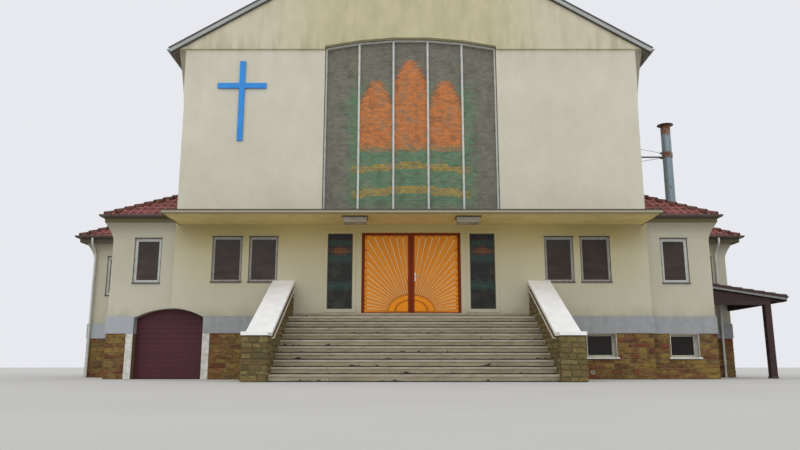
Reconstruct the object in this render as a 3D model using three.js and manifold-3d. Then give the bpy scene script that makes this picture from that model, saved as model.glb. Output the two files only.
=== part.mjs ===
// Modern church with a tall gabled hall, low tiled side rooms and aisles, and a front flight of steps.
// Units are millimetres. X runs to the right along the front, Y into the building and Z up.
// The work is laid out from the front wall face at y = 0 and is moved at the end,
// so that the origin lies under the middle of the ground slab.

import * as THREE from 'three';
import { mergeVertices } from 'three/addons/utils/BufferGeometryUtils.js';
import Module from 'manifold-3d';

const wasm = await Module();
wasm.setup();

// Gap between sloping faces that rest on each other
const seat = 0.3;

// Hall block
const hallHalf = 6500;
const hallLength = 20000;
const wall = 300;
const groundSlabTop = 100;
const plinthTop = 1210;
const bandTop = 1670;
const bandProud = 30;
const floorTop = 1760;
const floorThick = 200;

// Hall roof, with the height of its top face at the eaves
const roofSlope = Math.tan(THREE.MathUtils.degToRad(30.7));
const roofHalf = 6930;
const roofEaves = 9360;
const roofThick = 110;
const roofOverFront = 120;
const hallCove = { foot: 7600, rise: 1750, reach: 230 };

// Side rooms and aisles, as distances from the middle line and from the front
const wingFace = 8300;
const wingFront = 250;
const aisleFace = 10270;
const aisleFront = 3600;
const sideSlope = Math.tan(THREE.MathUtils.degToRad(30));
const sideEaves = 4460;
const wingOver = 200;
const aisleOver = 350;
const sideRoofThick = 200;
const sideCove = { foot: 3800, rise: 440, reach: 180 };

// Gable and tall window
const gableFoot = 9380;
const gableProud = 60;
const tallHalf = 2485;
const tallSpring = 9475;
const tallRise = 270;
const tallPanels = 5;
const tallBar = 60;
const tallRail = 130;
const tallFront = 90;
const tallDepth = 80;
const tallGlass = 12;

// Canopy over the entrance
const canopyUnder = 4190;
const canopyTop = 4280;
const canopyReach = 1500;
const canopyHalf = 6420;
const lamp = { inner: 1165, outer: 1800, front: 1160, depth: 440, height: 170 };

// Entrance doors
const doorHalf = 1360;
const doorTop = 3960;
const doorFrame = 70;
const doorFrameDepth = 100;
const leafFront = 80;
const leafThick = 50;
const leafGap = 5;
const heelGap = 6;
const leafFootGap = 10;
const pivotPin = 8;
const handle = { x: 110, z: 2750, lever: 130, bar: 20, stand: 50 };
const handlePlate = { wide: 40, high: 200, thick: 8 };

// Windows: frame bars, panes and how deep the frame sits
const frameBar = 90;
const frameDepth = 60;
const frameSet = 30;
const paneThick = 12;
const frontWindows = [[3670, 4440], [4650, 5450]];
const wingWindow = [6950, 7680];
const aisleWindow = [9050, 9810];
const storeyWindow = [2600, 3830];
const sidelight = { inner: 1600, outer: 2300, foot: 1850, head: 3940, bar: 50 };
const basementWindow = [560, 1210];
const basementFront = [4690, 5490];
const basementWing = [7020, 7800];
const basementSet = 180;
const basementBar = 60;
const aisleWindowWide = 780;
const aisleWindowRow = [9800, 12500, 15200, 17900];
const sheetThick = 15;
const sheetLap = 60;

// Front steps, cheek walls, copings and handrails
const riser = 160;
const tread = 285;
const nosings = 10;
const landing = 820;
const threshold = { out: 60, top: 1745 };
const stepsHalf = 3200;
const cheekWide = 550;
const copingOver = 25;
const copingThick = 80;
const copingHigh = 2630;
const copingLow = 1080;
const copingRun = 3150;
const copingEnd = 450;
const rail = { radius: 21, off: 70, drop: 130, from: 250, to: 3150, bracket: 8, brackets: 3 };

// Arched basement opening, low on the left
const arch = { centre: -6580, half: 980, spring: 1640, rise: 250, back: 550, door: 60 };

// Gutters and downpipes
const gutter = { wide: 120, high: 110, skin: 10 };
const pipeRadius = 42;
const pipeOff = 80;
const pipeAt = { left: -10190, right: 9930 };
const pipeBend = 3900;

// Flue, cross and side porch
const flue = { x: 9200, y: 5000, radius: 165, top: 8820, stay: 7640, rod: 22 };
const flueCap = { radius: 280, high: 40 };
const flueClamp = 180;
const cross = { x: -4850, foot: 6600, height: 2400, bar: 160, arm: 1400, armZ: 8250, thick: 60 };
const porch = { front: 1200, tip: 10850, high: 2700, low: 2300, thick: 120 };
const porchFrame = { front: 1250, board: 100, outer: 10380, wide: 180, under: 2080 };

const tiles = { color: 0x7a3035, roughness: 0.75 };
const render = { color: 0xc8c0aa, roughness: 0.9 };
const stone = { color: 0xa8875a, roughness: 0.9 };
const concrete = { color: 0xb9b6ae, roughness: 0.9 };
const white = { color: 0xe4e6e8, roughness: 0.6 };
const darkGlass = { color: 0x1c2a30, roughness: 0.15 };
const stainedGlass = { color: 0x5f7358, roughness: 0.3 };
const doorOrange = { color: 0xd98a2b, roughness: 0.5 };
const doorRed = { color: 0x5a1e1a, roughness: 0.5 };
const burgundy = { color: 0x4a0f24, roughness: 0.7 };
const blue = { color: 0x1e90e0, roughness: 0.5 };
const metal = { color: 0x9aa0a3, roughness: 0.5, metalness: 0.6 };
const rusty = { color: 0x8a7a6c, roughness: 0.8, metalness: 0.3 };

const church = new THREE.Group();

// Solids

// Turns a closed geometry into a solid that can be joined and cut.
function solidOf(geometry) {
  geometry.deleteAttribute('normal');
  geometry.deleteAttribute('uv');
  const merged = mergeVertices(geometry);
  return new wasm.Manifold(new wasm.Mesh({
    numProp: 3,
    vertProperties: new Float32Array(merged.attributes.position.array),
    triVerts: new Uint32Array(merged.index.array),
  }));
}

function box(x0, x1, y0, y1, z0, z1) {
  const geometry = new THREE.BoxGeometry(Math.abs(x1 - x0), Math.abs(y1 - y0), Math.abs(z1 - z0));
  geometry.translate((x0 + x1) / 2, (y0 + y1) / 2, (z0 + z1) / 2);
  return solidOf(geometry);
}

const X = new THREE.Vector3(1, 0, 0);
const Y = new THREE.Vector3(0, 1, 0);
const Z = new THREE.Vector3(0, 0, 1);

function extruded(outline, depth) {
  const shape = new THREE.Shape(outline.map(([u, v]) => new THREE.Vector2(u, v)));
  return new THREE.ExtrudeGeometry(shape, { depth, bevelEnabled: false });
}

// A prism along X has its outline as (y, z) points.
function prismX(outline, from, to) {
  const geometry = extruded(outline, to - from);
  geometry.applyMatrix4(new THREE.Matrix4().makeBasis(Y, Z, X));
  geometry.translate(from, 0, 0);
  return solidOf(geometry);
}

// A prism along Y has its outline as (x, z) points.
function prismY(outline, from, to) {
  const geometry = extruded(outline, to - from);
  geometry.applyMatrix4(new THREE.Matrix4().makeBasis(X, Z, Y.clone().negate()));
  geometry.translate(0, to, 0);
  return solidOf(geometry);
}

// A prism along Z has its outline as (x, y) points.
function prismZ(outline, from, to) {
  const geometry = extruded(outline, to - from);
  geometry.translate(0, 0, from);
  return solidOf(geometry);
}

// A round bar between two points
function bar(start, end, radius, sides = 12) {
  const a = new THREE.Vector3(...start);
  const b = new THREE.Vector3(...end);
  const geometry = new THREE.CylinderGeometry(radius, radius, a.distanceTo(b), sides);
  const turn = new THREE.Quaternion().setFromUnitVectors(Y, b.clone().sub(a).normalize());
  geometry.applyQuaternion(turn);
  geometry.translate(...a.add(b).multiplyScalar(0.5));
  return solidOf(geometry);
}

// A round pipe along straight runs joined by its bends
function pipe(points, radius, sides = 10) {
  const runs = points.slice(1).map((end, i) => bar(points[i], end, radius, sides));
  const bends = points.slice(1, -1).map((corner) => {
    const ball = new THREE.SphereGeometry(radius, sides, sides / 2);
    ball.translate(...corner);
    return solidOf(ball);
  });
  return joined(...runs, ...bends);
}

function joined(first, ...others) {
  return others.reduce((sum, next) => sum.add(next), first);
}

function cut(body, ...tools) {
  return tools.reduce((rest, tool) => rest.subtract(tool), body);
}

function common(first, ...others) {
  return others.reduce((rest, next) => rest.intersect(next), first);
}

function place(name, solid, look) {
  const mesh = solid.getMesh();
  const geometry = new THREE.BufferGeometry();
  geometry.setAttribute('position', new THREE.BufferAttribute(new Float32Array(mesh.vertProperties), 3));
  geometry.setIndex(new THREE.BufferAttribute(new Uint32Array(mesh.triVerts), 1));
  geometry.computeVertexNormals();
  const node = new THREE.Mesh(geometry, new THREE.MeshStandardMaterial(look));
  node.name = name;
  church.add(node);
}

// The two sides of the building, with the sign of their X
const sides = [['left', -1], ['right', 1]];

// Shared shapes

// Points up a coved wall face, as (distance out, height). A cove starts upright at its foot
// and leans out more and more, by its reach times the 1.5th power of the share of its rise.
function coveFace(cove, from, to, steps = 8) {
  const points = [[0, from]];
  for (let i = 0; i <= steps; i += 1) {
    const t = i / steps;
    points.push([cove.reach * t ** 1.5, cove.foot + cove.rise * t]);
  }
  points.push([cove.reach, to]);
  return points;
}

// Height of the hall roof's top face at a distance from the middle line
function roofTop(x) {
  return roofEaves + roofSlope * (roofHalf - Math.abs(x));
}

// Everything under the hall roof's lower face
function underRoof() {
  const low = roofTop(roofHalf) - roofThick - seat;
  const high = roofTop(0) - roofThick - seat;
  const outline = [[-roofHalf, 0], [roofHalf, 0], [roofHalf, low], [0, high], [-roofHalf, low]];
  return prismY(outline, -2000, hallLength + 2000);
}

// Outline of one side's rooms, moved outwards by a distance, from the hall wall round to it again
function sidePlan(s, out) {
  return [
    [s * hallHalf, wingFront - out],
    [s * (wingFace + out), wingFront - out],
    [s * (wingFace + out), aisleFront - out],
    [s * (aisleFace + out), aisleFront - out],
    [s * (aisleFace + out), hallLength + out],
    [s * hallHalf, hallLength + out],
  ];
}

// Strip between two such outlines
function sideRing(s, outer, inner, from, to) {
  return prismZ([...sidePlan(s, outer), ...sidePlan(s, inner).reverse()], from, to);
}

// Line of one side's eaves, moved outwards by a distance
function eavesPlan(s, out) {
  const wingX = s * (wingFace + wingOver + out);
  const aisleX = s * (aisleFace + aisleOver + out);
  const wingY = wingFront - wingOver - out;
  const aisleY = aisleFront - aisleOver - out;
  const backY = hallLength + aisleOver + out;
  return [
    [s * hallHalf, wingY],
    [wingX, wingY],
    [wingX, aisleY],
    [aisleX, aisleY],
    [aisleX, backY],
    [s * hallHalf, backY],
  ];
}

function eavesRing(s, outer, inner, from, to) {
  return prismZ([...eavesPlan(s, outer), ...eavesPlan(s, inner).reverse()], from, to);
}

// Everything under the two lean-to roofs of one side, with their top faces lowered by a distance.
// Both are hipped, so each is the common part of a slope across and a slope along.
function underSideRoof(s, lowered, widened = 0) {
  const eaves = sideEaves - lowered - sideSlope * widened;
  const wingRun = wingFace + wingOver + widened - hallHalf;
  const aisleRun = aisleFace + aisleOver + widened - hallHalf;
  const wingStart = wingFront - wingOver - widened;
  const wingEnd = aisleFront + wingRun;
  const aisleStart = aisleFront - aisleOver - widened;
  const aisleEnd = hallLength + aisleOver + widened;
  const aisleMiddle = (aisleStart + aisleEnd) / 2;
  const across = (run) => [
    [s * hallHalf, 0],
    [s * (hallHalf + run), 0],
    [s * (hallHalf + run), eaves],
    [s * hallHalf, eaves + sideSlope * run],
  ];
  const wingRise = sideSlope * (wingEnd - wingStart);
  const wingAlong = [[wingStart, 0], [wingEnd, 0], [wingEnd, eaves + wingRise], [wingStart, eaves]];
  const aisleAlong = [
    [aisleStart, 0],
    [aisleEnd, 0],
    [aisleEnd, eaves],
    [aisleMiddle, eaves + sideSlope * (aisleMiddle - aisleStart)],
    [aisleStart, eaves],
  ];
  const reach = [s * hallHalf, s * (hallHalf + aisleRun)].sort((a, b) => a - b);
  const wing = common(prismY(across(wingRun), wingStart, wingEnd), prismX(wingAlong, ...reach));
  const aisle = common(prismY(across(aisleRun), aisleStart, aisleEnd), prismX(aisleAlong, ...reach));
  return joined(wing, aisle);
}

// Outline of the arched basement opening, made smaller all round by a distance
function archOutline(inset = 0) {
  const full = (arch.half ** 2 + arch.rise ** 2) / (2 * arch.rise);
  const centreZ = arch.spring + arch.rise - full;
  const radius = full - inset;
  const half = arch.half - inset;
  const swing = Math.asin(half / radius);
  const points = [[arch.centre - half, 0], [arch.centre + half, 0]];
  for (let i = 0; i <= 16; i += 1) {
    const angle = swing - (2 * swing * i) / 16;
    points.push([arch.centre + radius * Math.sin(angle), centreZ + radius * Math.cos(angle)]);
  }
  return points;
}

// The opening itself, from in front of the walls back to its door's rear face
function archBarrel() {
  return prismY(archOutline(), -400, arch.back);
}

// A window: four bars and a thin pane in one piece, between x0 and x1
function windowUnit(x0, x1, z0, z1, front, barWide = frameBar) {
  const low = Math.min(x0, x1);
  const high = Math.max(x0, x1);
  const outer = box(low, high, front, front + frameDepth, z0, z1);
  const middle = front + frameDepth / 2;
  const light = (from, to) => box(low + barWide, high - barWide, from, to, z0 + barWide, z1 - barWide);
  const before = light(front - 1, middle - paneThick / 2);
  const behind = light(middle + paneThick / 2, front + frameDepth + 1);
  return cut(outer, before, behind);
}

// Ground slab and main floor

const inside = [
  [-hallHalf, wall],
  [hallHalf, wall],
  [hallHalf, wingFront + wall],
  [wingFace - wall, wingFront + wall],
  [wingFace - wall, aisleFront + wall],
  [aisleFace - wall, aisleFront + wall],
  [aisleFace - wall, hallLength - wall],
  [-aisleFace + wall, hallLength - wall],
  [-aisleFace + wall, aisleFront + wall],
  [-wingFace + wall, aisleFront + wall],
  [-wingFace + wall, wingFront + wall],
  [-hallHalf, wingFront + wall],
];

function bearingWall(s) {
  const faces = [s * (hallHalf - wall), s * hallHalf].sort((a, b) => a - b);
  return box(...faces, wall, hallLength - wall, groundSlabTop, floorTop - floorThick);
}

const archRight = arch.centre + arch.half;

function buildFloors() {
  place('ground_slab', cut(prismZ(inside, 0, groundSlabTop), archBarrel()), concrete);
  const slab = joined(prismZ(inside, floorTop - floorThick, floorTop), bearingWall(-1), bearingWall(1));
  const hoodTop = arch.spring + arch.rise + 60;
  const hood = box(-hallHalf + wall, archRight, wall, arch.back + 100, floorTop - floorThick, hoodTop);
  place('entrance_floor', cut(joined(slab, hood), archBarrel()), concrete);
}

// Stone plinths with their smooth band

function frontBand(s) {
  const inner = stepsHalf + cheekWide;
  const front = box(s * inner, s * (hallHalf + bandProud), -bandProud, 0, plinthTop, bandTop);
  const back = box(s * hallHalf, s * (hallHalf + bandProud), 0, wingFront - bandProud, plinthTop, bandTop);
  return joined(front, back);
}

function buildPlinths() {
  const jamb = box(archRight, archRight + wall, wall, arch.back, groundSlabTop, floorTop - floorThick);
  const front = joined(box(-hallHalf, hallHalf, 0, wall, 0, bandTop), frontBand(-1), frontBand(1), jamb);
  const frontHole = box(...basementFront, -100, wall + 100, ...basementWindow);
  place('plinth_front', cut(front, archBarrel(), frontHole), stone);
  const back = box(-hallHalf, hallHalf, hallLength - wall, hallLength, 0, bandTop);
  const backBand = box(-hallHalf, hallHalf, hallLength, hallLength + bandProud, plinthTop, bandTop);
  place('plinth_back', joined(back, backBand), stone);
  for (const [side, s] of sides) {
    const base = sideRing(s, 0, -wall, 0, plinthTop);
    const band = sideRing(s, bandProud, -wall, plinthTop, bandTop);
    const holes = aisleWindowRow.map((y) => aisleHole(s, y, basementWindow));
    const front = s < 0
      ? archBarrel()
      : box(...basementWing, wingFront - 100, wingFront + wall + 100, ...basementWindow);
    place(`plinth_${side}`, cut(joined(base, band), ...holes, front), stone);
  }
}

function aisleHole(s, y, heights) {
  const half = aisleWindowWide / 2;
  return box(s * (aisleFace - wall - 100), s * (aisleFace + 100), y - half, y + half, ...heights);
}

// Rendered walls

function buildLowerWalls() {
  for (const [side, s] of sides) {
    const body = box(s * doorHalf, s * hallHalf, 0, wall, bandTop, canopyUnder);
    const holes = frontWindows.map(([a, b]) => box(s * a, s * b, -100, wall + 100, ...storeyWindow));
    const jambs = [s * sidelight.inner, s * sidelight.outer];
    const light = box(...jambs, -100, wall + 100, sidelight.foot, sidelight.head);
    const tools = s < 0 ? [...holes, light, archBarrel()] : [...holes, light];
    place(`front_wall_${side}`, cut(body, ...tools), render);
  }
  place('door_lintel', box(-doorHalf, doorHalf, 0, wall, doorTop, canopyUnder), render);
}

function buildUpperWalls() {
  const face = coveFace(hallCove, canopyTop, gableFoot);
  for (const [side, s] of sides) {
    const outer = face.map(([out, z]) => [s * (hallHalf + out), z]);
    const outline = [[s * tallHalf, canopyTop], ...outer, [s * tallHalf, gableFoot]];
    const body = prismY(outline, 0, wall);
    place(`upper_wall_${side}`, common(body, underRoof()), render);
  }
}

// Height of the tall window's head: a low curve, straight between the bars
function tallHead(x) {
  return tallSpring + tallRise * (1 - (x / tallHalf) ** 2);
}

function tallOutline(foot, inset = 0) {
  const points = [[tallHalf - inset, foot]];
  for (let i = 0; i <= tallPanels; i += 1) {
    const x = tallHalf * (1 - (2 * i) / tallPanels);
    const inner = THREE.MathUtils.clamp(x, inset - tallHalf, tallHalf - inset);
    points.push([inner, tallHead(x) - inset]);
  }
  points.push([inset - tallHalf, foot]);
  return points.reverse();
}

function buildGable() {
  const half = roofHalf - (gableFoot - roofTop(roofHalf) + roofThick + seat) / roofSlope;
  const peak = roofTop(0) - roofThick - seat;
  const body = prismY([[-half, gableFoot], [half, gableFoot], [0, peak]], -gableProud, wall);
  place('front_gable', cut(body, prismY(tallOutline(gableFoot - 100), -500, wall + 100)), render);
}

function buildBackWall() {
  const face = coveFace(hallCove, bandTop, 14000);
  const right = face.map(([out, z]) => [hallHalf + out, z]);
  const left = face.map(([out, z]) => [-hallHalf - out, z]).reverse();
  place('back_wall', common(prismY([...right, ...left], hallLength - wall, hallLength), underRoof()), render);
}

// One side wall of the hall, with its outer face moved outwards by a distance
function hallWall(s, moved = 0) {
  const face = coveFace(hallCove, floorTop, 14000);
  const outer = face.map(([out, z]) => [s * (hallHalf + out + moved), z]);
  const inner = s * (hallHalf - wall);
  return prismY([[inner, floorTop], ...outer, [inner, 14000]], wall, hallLength - wall);
}

function buildHallWalls() {
  for (const [side, s] of sides) {
    const body = common(hallWall(s), underRoof());
    place(`hall_wall_${side}`, s < 0 ? cut(body, archBarrel()) : body, render);
  }
}

// Side walls, coved out under their eaves
function sideBlock(s, face, front, back, from) {
  const profile = coveFace(sideCove, from, 9000, 6);
  const outer = profile.map(([out, z]) => [s * (face + out), z]);
  const across = prismY([[s * hallHalf, from], ...outer, [s * hallHalf, 9000]], front - 1000, back + 1000);
  const nose = profile.map(([out, z]) => [front - out, z]);
  const tail = profile.map(([out, z]) => [back + out, z]).reverse();
  const reach = [s * hallHalf, s * (face + 1000)].sort((a, b) => a - b);
  return common(across, prismX([...nose, ...tail], ...reach));
}

function buildSideWalls() {
  for (const [side, s] of sides) {
    const wing = common(
      sideBlock(s, wingFace, wingFront, hallLength, bandTop),
      box(s * hallHalf, s * (aisleFace + 1000), wingFront - 1000, aisleFront + wall, 0, 9000),
    );
    const aisle = sideBlock(s, aisleFace, aisleFront, hallLength, bandTop);
    const hallSide = s * (hallHalf - 1);
    const wingSide = s * (wingFace - wall);
    const aisleSide = s * (aisleFace - wall);
    const wingRoom = box(hallSide, wingSide, wingFront + wall, aisleFront + wall + 1, 0, 9000);
    const aisleRoom = box(hallSide, aisleSide, aisleFront + wall, hallLength - wall, 0, 9000);
    const holes = aisleWindowRow.map((y) => aisleHole(s, y, storeyWindow));
    for (const [jambs, face] of [[wingWindow, wingFront], [aisleWindow, aisleFront]]) {
      holes.push(box(s * jambs[0], s * jambs[1], face - 100, face + wall + 100, ...storeyWindow));
    }
    if (s < 0) {
      holes.push(archBarrel());
    }
    const shell = cut(joined(wing, aisle), wingRoom, aisleRoom, ...holes);
    place(`side_wall_${side}`, common(shell, underSideRoof(s, sideRoofThick + seat, 60)), render);
  }
}

// Roofs

function buildRoofs() {
  for (const [side, s] of sides) {
    const outline = [
      [0, roofTop(0)],
      [s * roofHalf, roofTop(roofHalf)],
      [s * roofHalf, roofTop(roofHalf) - roofThick],
      [0, roofTop(0) - roofThick],
    ];
    place(`hall_roof_${side}`, prismY(outline, -roofOverFront, hallLength + roofOverFront), tiles);
    const low = box(s * hallHalf, s * 14000, -1000, hallLength + 1000, 0, sideEaves - sideRoofThick);
    const shell = cut(underSideRoof(s, 0), underSideRoof(s, sideRoofThick, 60), low);
    place(`side_roof_${side}`, shell, tiles);
  }
}

// Gutters with the downpipes that they feed

function buildGutters() {
  const top = sideEaves;
  const under = top - gutter.high;
  for (const [side, s] of sides) {
    const trough = eavesRing(s, gutter.wide - gutter.skin, gutter.skin, under + gutter.skin, top + 10);
    const body = cut(eavesRing(s, gutter.wide, seat, under, top), trough);
    place(`gutter_${side}`, joined(body, downpipe(pipeAt[side], under)), metal);
  }
}

// A downpipe that leaves the gutter before the aisle, bends back under the eaves and runs down to the ground
function downpipe(x, under) {
  const outer = aisleFront - aisleOver - gutter.wide / 2;
  const inner = aisleFront - pipeOff;
  const run = [[x, outer, under + 5], [x, outer, under - 90], [x, inner, pipeBend], [x, inner, 0]];
  return pipe(run, pipeRadius);
}

// Tall window

function buildTallWindow() {
  const back = tallFront + tallDepth;
  const outer = prismY(tallOutline(canopyTop), tallFront, back);
  const opening = prismY(tallOutline(canopyTop + tallRail, tallBar), tallFront - 10, back + 10);
  const bars = [];
  for (let i = 1; i < tallPanels; i += 1) {
    const x = -tallHalf + (2 * tallHalf * i) / tallPanels;
    bars.push(box(x - tallBar / 2, x + tallBar / 2, tallFront, back, canopyTop, tallHead(x) - tallBar / 2));
  }
  place('tall_window_frame', joined(cut(outer, opening), ...bars), white);
  place('tall_window_glass', prismY(tallOutline(canopyTop), back, back + tallGlass), stainedGlass);
}

// Canopy and its lamps

function buildCanopy() {
  const shelf = box(-canopyHalf, canopyHalf, -canopyReach, wall, canopyUnder, canopyTop);
  place('canopy_slab', joined(shelf, box(-hallHalf, hallHalf, 0, wall, canopyUnder, canopyTop)), render);
  for (const [side, s] of sides) {
    const ends = [s * lamp.inner, s * lamp.outer];
    const foot = canopyUnder - lamp.height;
    const body = box(...ends, -lamp.front, lamp.depth - lamp.front, foot, canopyUnder);
    place(`canopy_lamp_${side}`, body, white);
  }
}

// Entrance doors

const leafFoot = floorTop + leafFootGap;
const leafHead = doorTop - doorFrame - leafGap;
const jambFace = doorHalf - doorFrame;
const heel = leafThick / 2;
const pivotX = jambFace - heelGap - heel;
const pivotY = leafFront + heel;

function buildDoorFrame() {
  const back = leafFront + doorFrameDepth;
  const outer = box(-doorHalf, doorHalf, leafFront, back, floorTop, doorTop);
  const clear = box(-jambFace, jambFace, leafFront - 10, back + 10, floorTop - 10, doorTop - doorFrame);
  const sill = box(-doorHalf, doorHalf, 0, wall, bandTop, floorTop);
  place('door_frame', joined(cut(outer, clear), sill), doorRed);
}

// A leaf turns on pins in its rounded heel, which stand in the sill and reach up to the frame's head.
function buildLeaves() {
  for (const [side, s] of sides) {
    const at = (z) => [s * pivotX, pivotY, z];
    const upright = (radius, from, to, facets) => bar(at(from), at(to), radius, facets);
    const panel = box(s * leafGap, s * pivotX, leafFront, leafFront + leafThick, leafFoot, leafHead);
    const pin = upright(pivotPin, floorTop + seat, doorTop - doorFrame - seat, 12);
    place(`door_leaf_${side}`, joined(panel, upright(heel, leafFoot, leafHead, 24), pin), doorOrange);
  }
  const halfWide = handlePlate.wide / 2;
  const halfHigh = handlePlate.high / 2;
  const front = leafFront - handlePlate.thick;
  const plateSides = [handle.x - halfWide, handle.x + halfWide];
  const plate = box(...plateSides, front, leafFront, handle.z - halfHigh, handle.z + halfHigh);
  const at = (y) => [handle.x, y, handle.z];
  const neck = bar(at(front + 1), at(front - handle.stand), handle.bar / 2);
  const lever = box(
    handle.x - handle.bar / 2, handle.x + handle.lever,
    front - handle.stand - handle.bar / 2, front - handle.stand + handle.bar / 2,
    handle.z - handle.bar / 2, handle.z + handle.bar / 2,
  );
  place('door_handle', joined(plate, neck, lever), metal);
}

// Windows

function buildWindows() {
  for (const [side, s] of sides) {
    frontWindows.forEach(([a, b], index) => {
      const unit = windowUnit(s * a, s * b, ...storeyWindow, frameSet);
      place(`front_window_${side}_${index + 1}`, unit, white);
    });
    const wing = windowUnit(s * wingWindow[0], s * wingWindow[1], ...storeyWindow, wingFront + frameSet);
    place(`wing_window_${side}`, wing, white);
    const aisle = windowUnit(s * aisleWindow[0], s * aisleWindow[1], ...storeyWindow, aisleFront + frameSet);
    place(`aisle_window_${side}`, aisle, white);
    const jambs = [s * sidelight.inner, s * sidelight.outer];
    const light = windowUnit(...jambs, sidelight.foot, sidelight.head, frameSet, sidelight.bar);
    place(`sidelight_${side}`, light, darkGlass);
    glassSheet(`aisle_glass_${side}`, s, storeyWindow);
    glassSheet(`basement_glass_${side}`, s, basementWindow);
  }
  const front = windowUnit(...basementFront, ...basementWindow, basementSet, basementBar);
  place('basement_window_front', front, white);
  const wing = windowUnit(...basementWing, ...basementWindow, wingFront + basementSet, basementBar);
  place('basement_window_wing', wing, white);
}

// One sheet of glass behind a row of aisle windows
function glassSheet(name, s, [low, high]) {
  const reach = aisleWindowWide / 2 + sheetLap;
  const from = aisleWindowRow[0] - reach;
  const to = aisleWindowRow[aisleWindowRow.length - 1] + reach;
  const face = aisleFace - wall;
  place(name, box(s * (face - sheetThick), s * face, from, to, low - sheetLap, high + sheetLap), darkGlass);
}

// Boarded door of the arched opening
function buildBasementDoor() {
  place('basement_door', prismY(archOutline(seat), arch.back - arch.door, arch.back), burgundy);
}

// Steps, cheek walls, copings and handrails

const stepsRun = landing + tread * (nosings - 1);

// The flight ends in a landing, with a threshold step along the foot of the wall.
function buildSteps() {
  const outline = [[0, 0], [-stepsRun, 0]];
  for (let i = 1; i <= nosings; i += 1) {
    const nose = -stepsRun + tread * (i - 1);
    outline.push([nose, riser * i]);
    outline.push([i < nosings ? nose + tread : -threshold.out, riser * i]);
  }
  outline.push([-threshold.out, threshold.top], [0, threshold.top]);
  place('front_steps', prismX(outline, -stepsHalf, stepsHalf), concrete);
}

const copingSlope = (copingHigh - copingLow) / copingRun;
const copingDrop = copingThick * Math.sqrt(1 + copingSlope ** 2);

// Height of the coping's top at a distance in front of the wall
function copingTop(distance) {
  return copingHigh - copingSlope * Math.min(distance, copingRun);
}

function buildCheeks() {
  const length = copingRun + copingEnd;
  const under = (distance) => copingTop(distance) - copingDrop;
  for (const [side, s] of sides) {
    const wallFaces = [s * stepsHalf, s * (stepsHalf + cheekWide)].sort((a, b) => a - b);
    const setBack = 50;
    const cheek = [
      [0, 0],
      [setBack - length, 0],
      [setBack - length, under(length) - seat],
      [-copingRun, under(copingRun) - seat],
      [0, under(0) - seat],
    ];
    place(`cheek_wall_${side}`, prismX(cheek, ...wallFaces), stone);
    const copingFaces = [s * (stepsHalf - copingOver), s * (stepsHalf + cheekWide + copingOver)];
    copingFaces.sort((a, b) => a - b);
    const coping = [
      [0, copingTop(0)],
      [-copingRun, copingTop(copingRun)],
      [-length, copingTop(length)],
      [-length, under(length)],
      [-copingRun, under(copingRun)],
      [0, under(0)],
    ];
    place(`coping_${side}`, prismX(coping, ...copingFaces), white);
    place(`handrail_${side}`, handrail(s), metal);
  }
}

function handrail(s) {
  const x = s * (stepsHalf - rail.off);
  const point = (distance) => [x, -distance, copingTop(distance) - rail.drop];
  const tube = bar(point(rail.from), point(rail.to), rail.radius);
  const brackets = [];
  for (let i = 0; i < rail.brackets; i += 1) {
    const distance = rail.from + 150 + ((rail.to - rail.from - 300) * i) / (rail.brackets - 1);
    const [, y, z] = point(distance);
    brackets.push(bar([x, y, z], [s * stepsHalf, y, z], rail.bracket, 8));
  }
  return joined(tube, ...brackets);
}

// Flue, cross and side porch

function buildFlue() {
  const upright = (from, to, radius) => bar([flue.x, flue.y, from], [flue.x, flue.y, to], radius, 24);
  const shaft = upright(sideEaves, flue.top, flue.radius);
  const cap = upright(flue.top - 1, flue.top + flueCap.high, flueCap.radius);
  const clamp = upright(flue.stay - 30, flue.stay + 30, flueClamp);
  const rod = bar([hallHalf, flue.y, flue.stay], [flue.x, flue.y, flue.stay], flue.rod);
  place('flue_pipe', cut(joined(shaft, cap, clamp, rod), underSideRoof(1, -seat), hallWall(1, seat)), rusty);
}

function buildCross() {
  const half = cross.bar / 2;
  const upright = box(cross.x - half, cross.x + half, -cross.thick, 0, cross.foot, cross.foot + cross.height);
  const reach = [cross.x - cross.arm / 2, cross.x + cross.arm / 2];
  const arms = box(...reach, -cross.thick, 0, cross.armZ - half, cross.armZ + half);
  place('wall_cross', joined(upright, arms), blue);
}

// The porch fills the corner between side room and aisle: a lean-to roof, a boarded front,
// a side beam and a post. The aisle's downpipe passes through its roof.
function buildPorch() {
  const slope = (porch.high - porch.low) / (porch.tip - wingFace);
  const under = (x) => porch.high - porch.thick - slope * (x - wingFace);
  const roof = prismY([
    [wingFace, porch.high],
    [porch.tip, porch.low],
    [porch.tip, under(porch.tip)],
    [wingFace, under(wingFace)],
  ], porch.front, aisleFront);
  const { front, outer } = porchFrame;
  const inner = outer - porchFrame.wide;
  const gable = (from) => [
    [from, porchFrame.under],
    [outer, porchFrame.under],
    [outer, under(outer) + 1],
    [from, under(from) + 1],
  ];
  const boards = prismY(gable(wingFace), front, front + porchFrame.board);
  const beam = prismY(gable(inner), front, aisleFront);
  const post = box(inner, outer, front, front + porchFrame.wide, 0, porchFrame.under + 1);
  const pipeY = aisleFront - pipeOff;
  const passage = bar([pipeAt.right, pipeY, 0], [pipeAt.right, pipeY, pipeBend], pipeRadius + 8);
  place('side_porch', cut(joined(roof, boards, beam, post), passage), tiles);
}

buildFloors();
buildPlinths();
buildLowerWalls();
buildUpperWalls();
buildGable();
buildBackWall();
buildHallWalls();
buildSideWalls();
buildRoofs();
buildGutters();
buildTallWindow();
buildCanopy();
buildDoorFrame();
buildLeaves();
buildWindows();
buildBasementDoor();
buildSteps();
buildCheeks();
buildFlue();
buildCross();
buildPorch();

const group = new THREE.Group();
church.position.y = -hallLength / 2;
group.add(church);

export default group;
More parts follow.
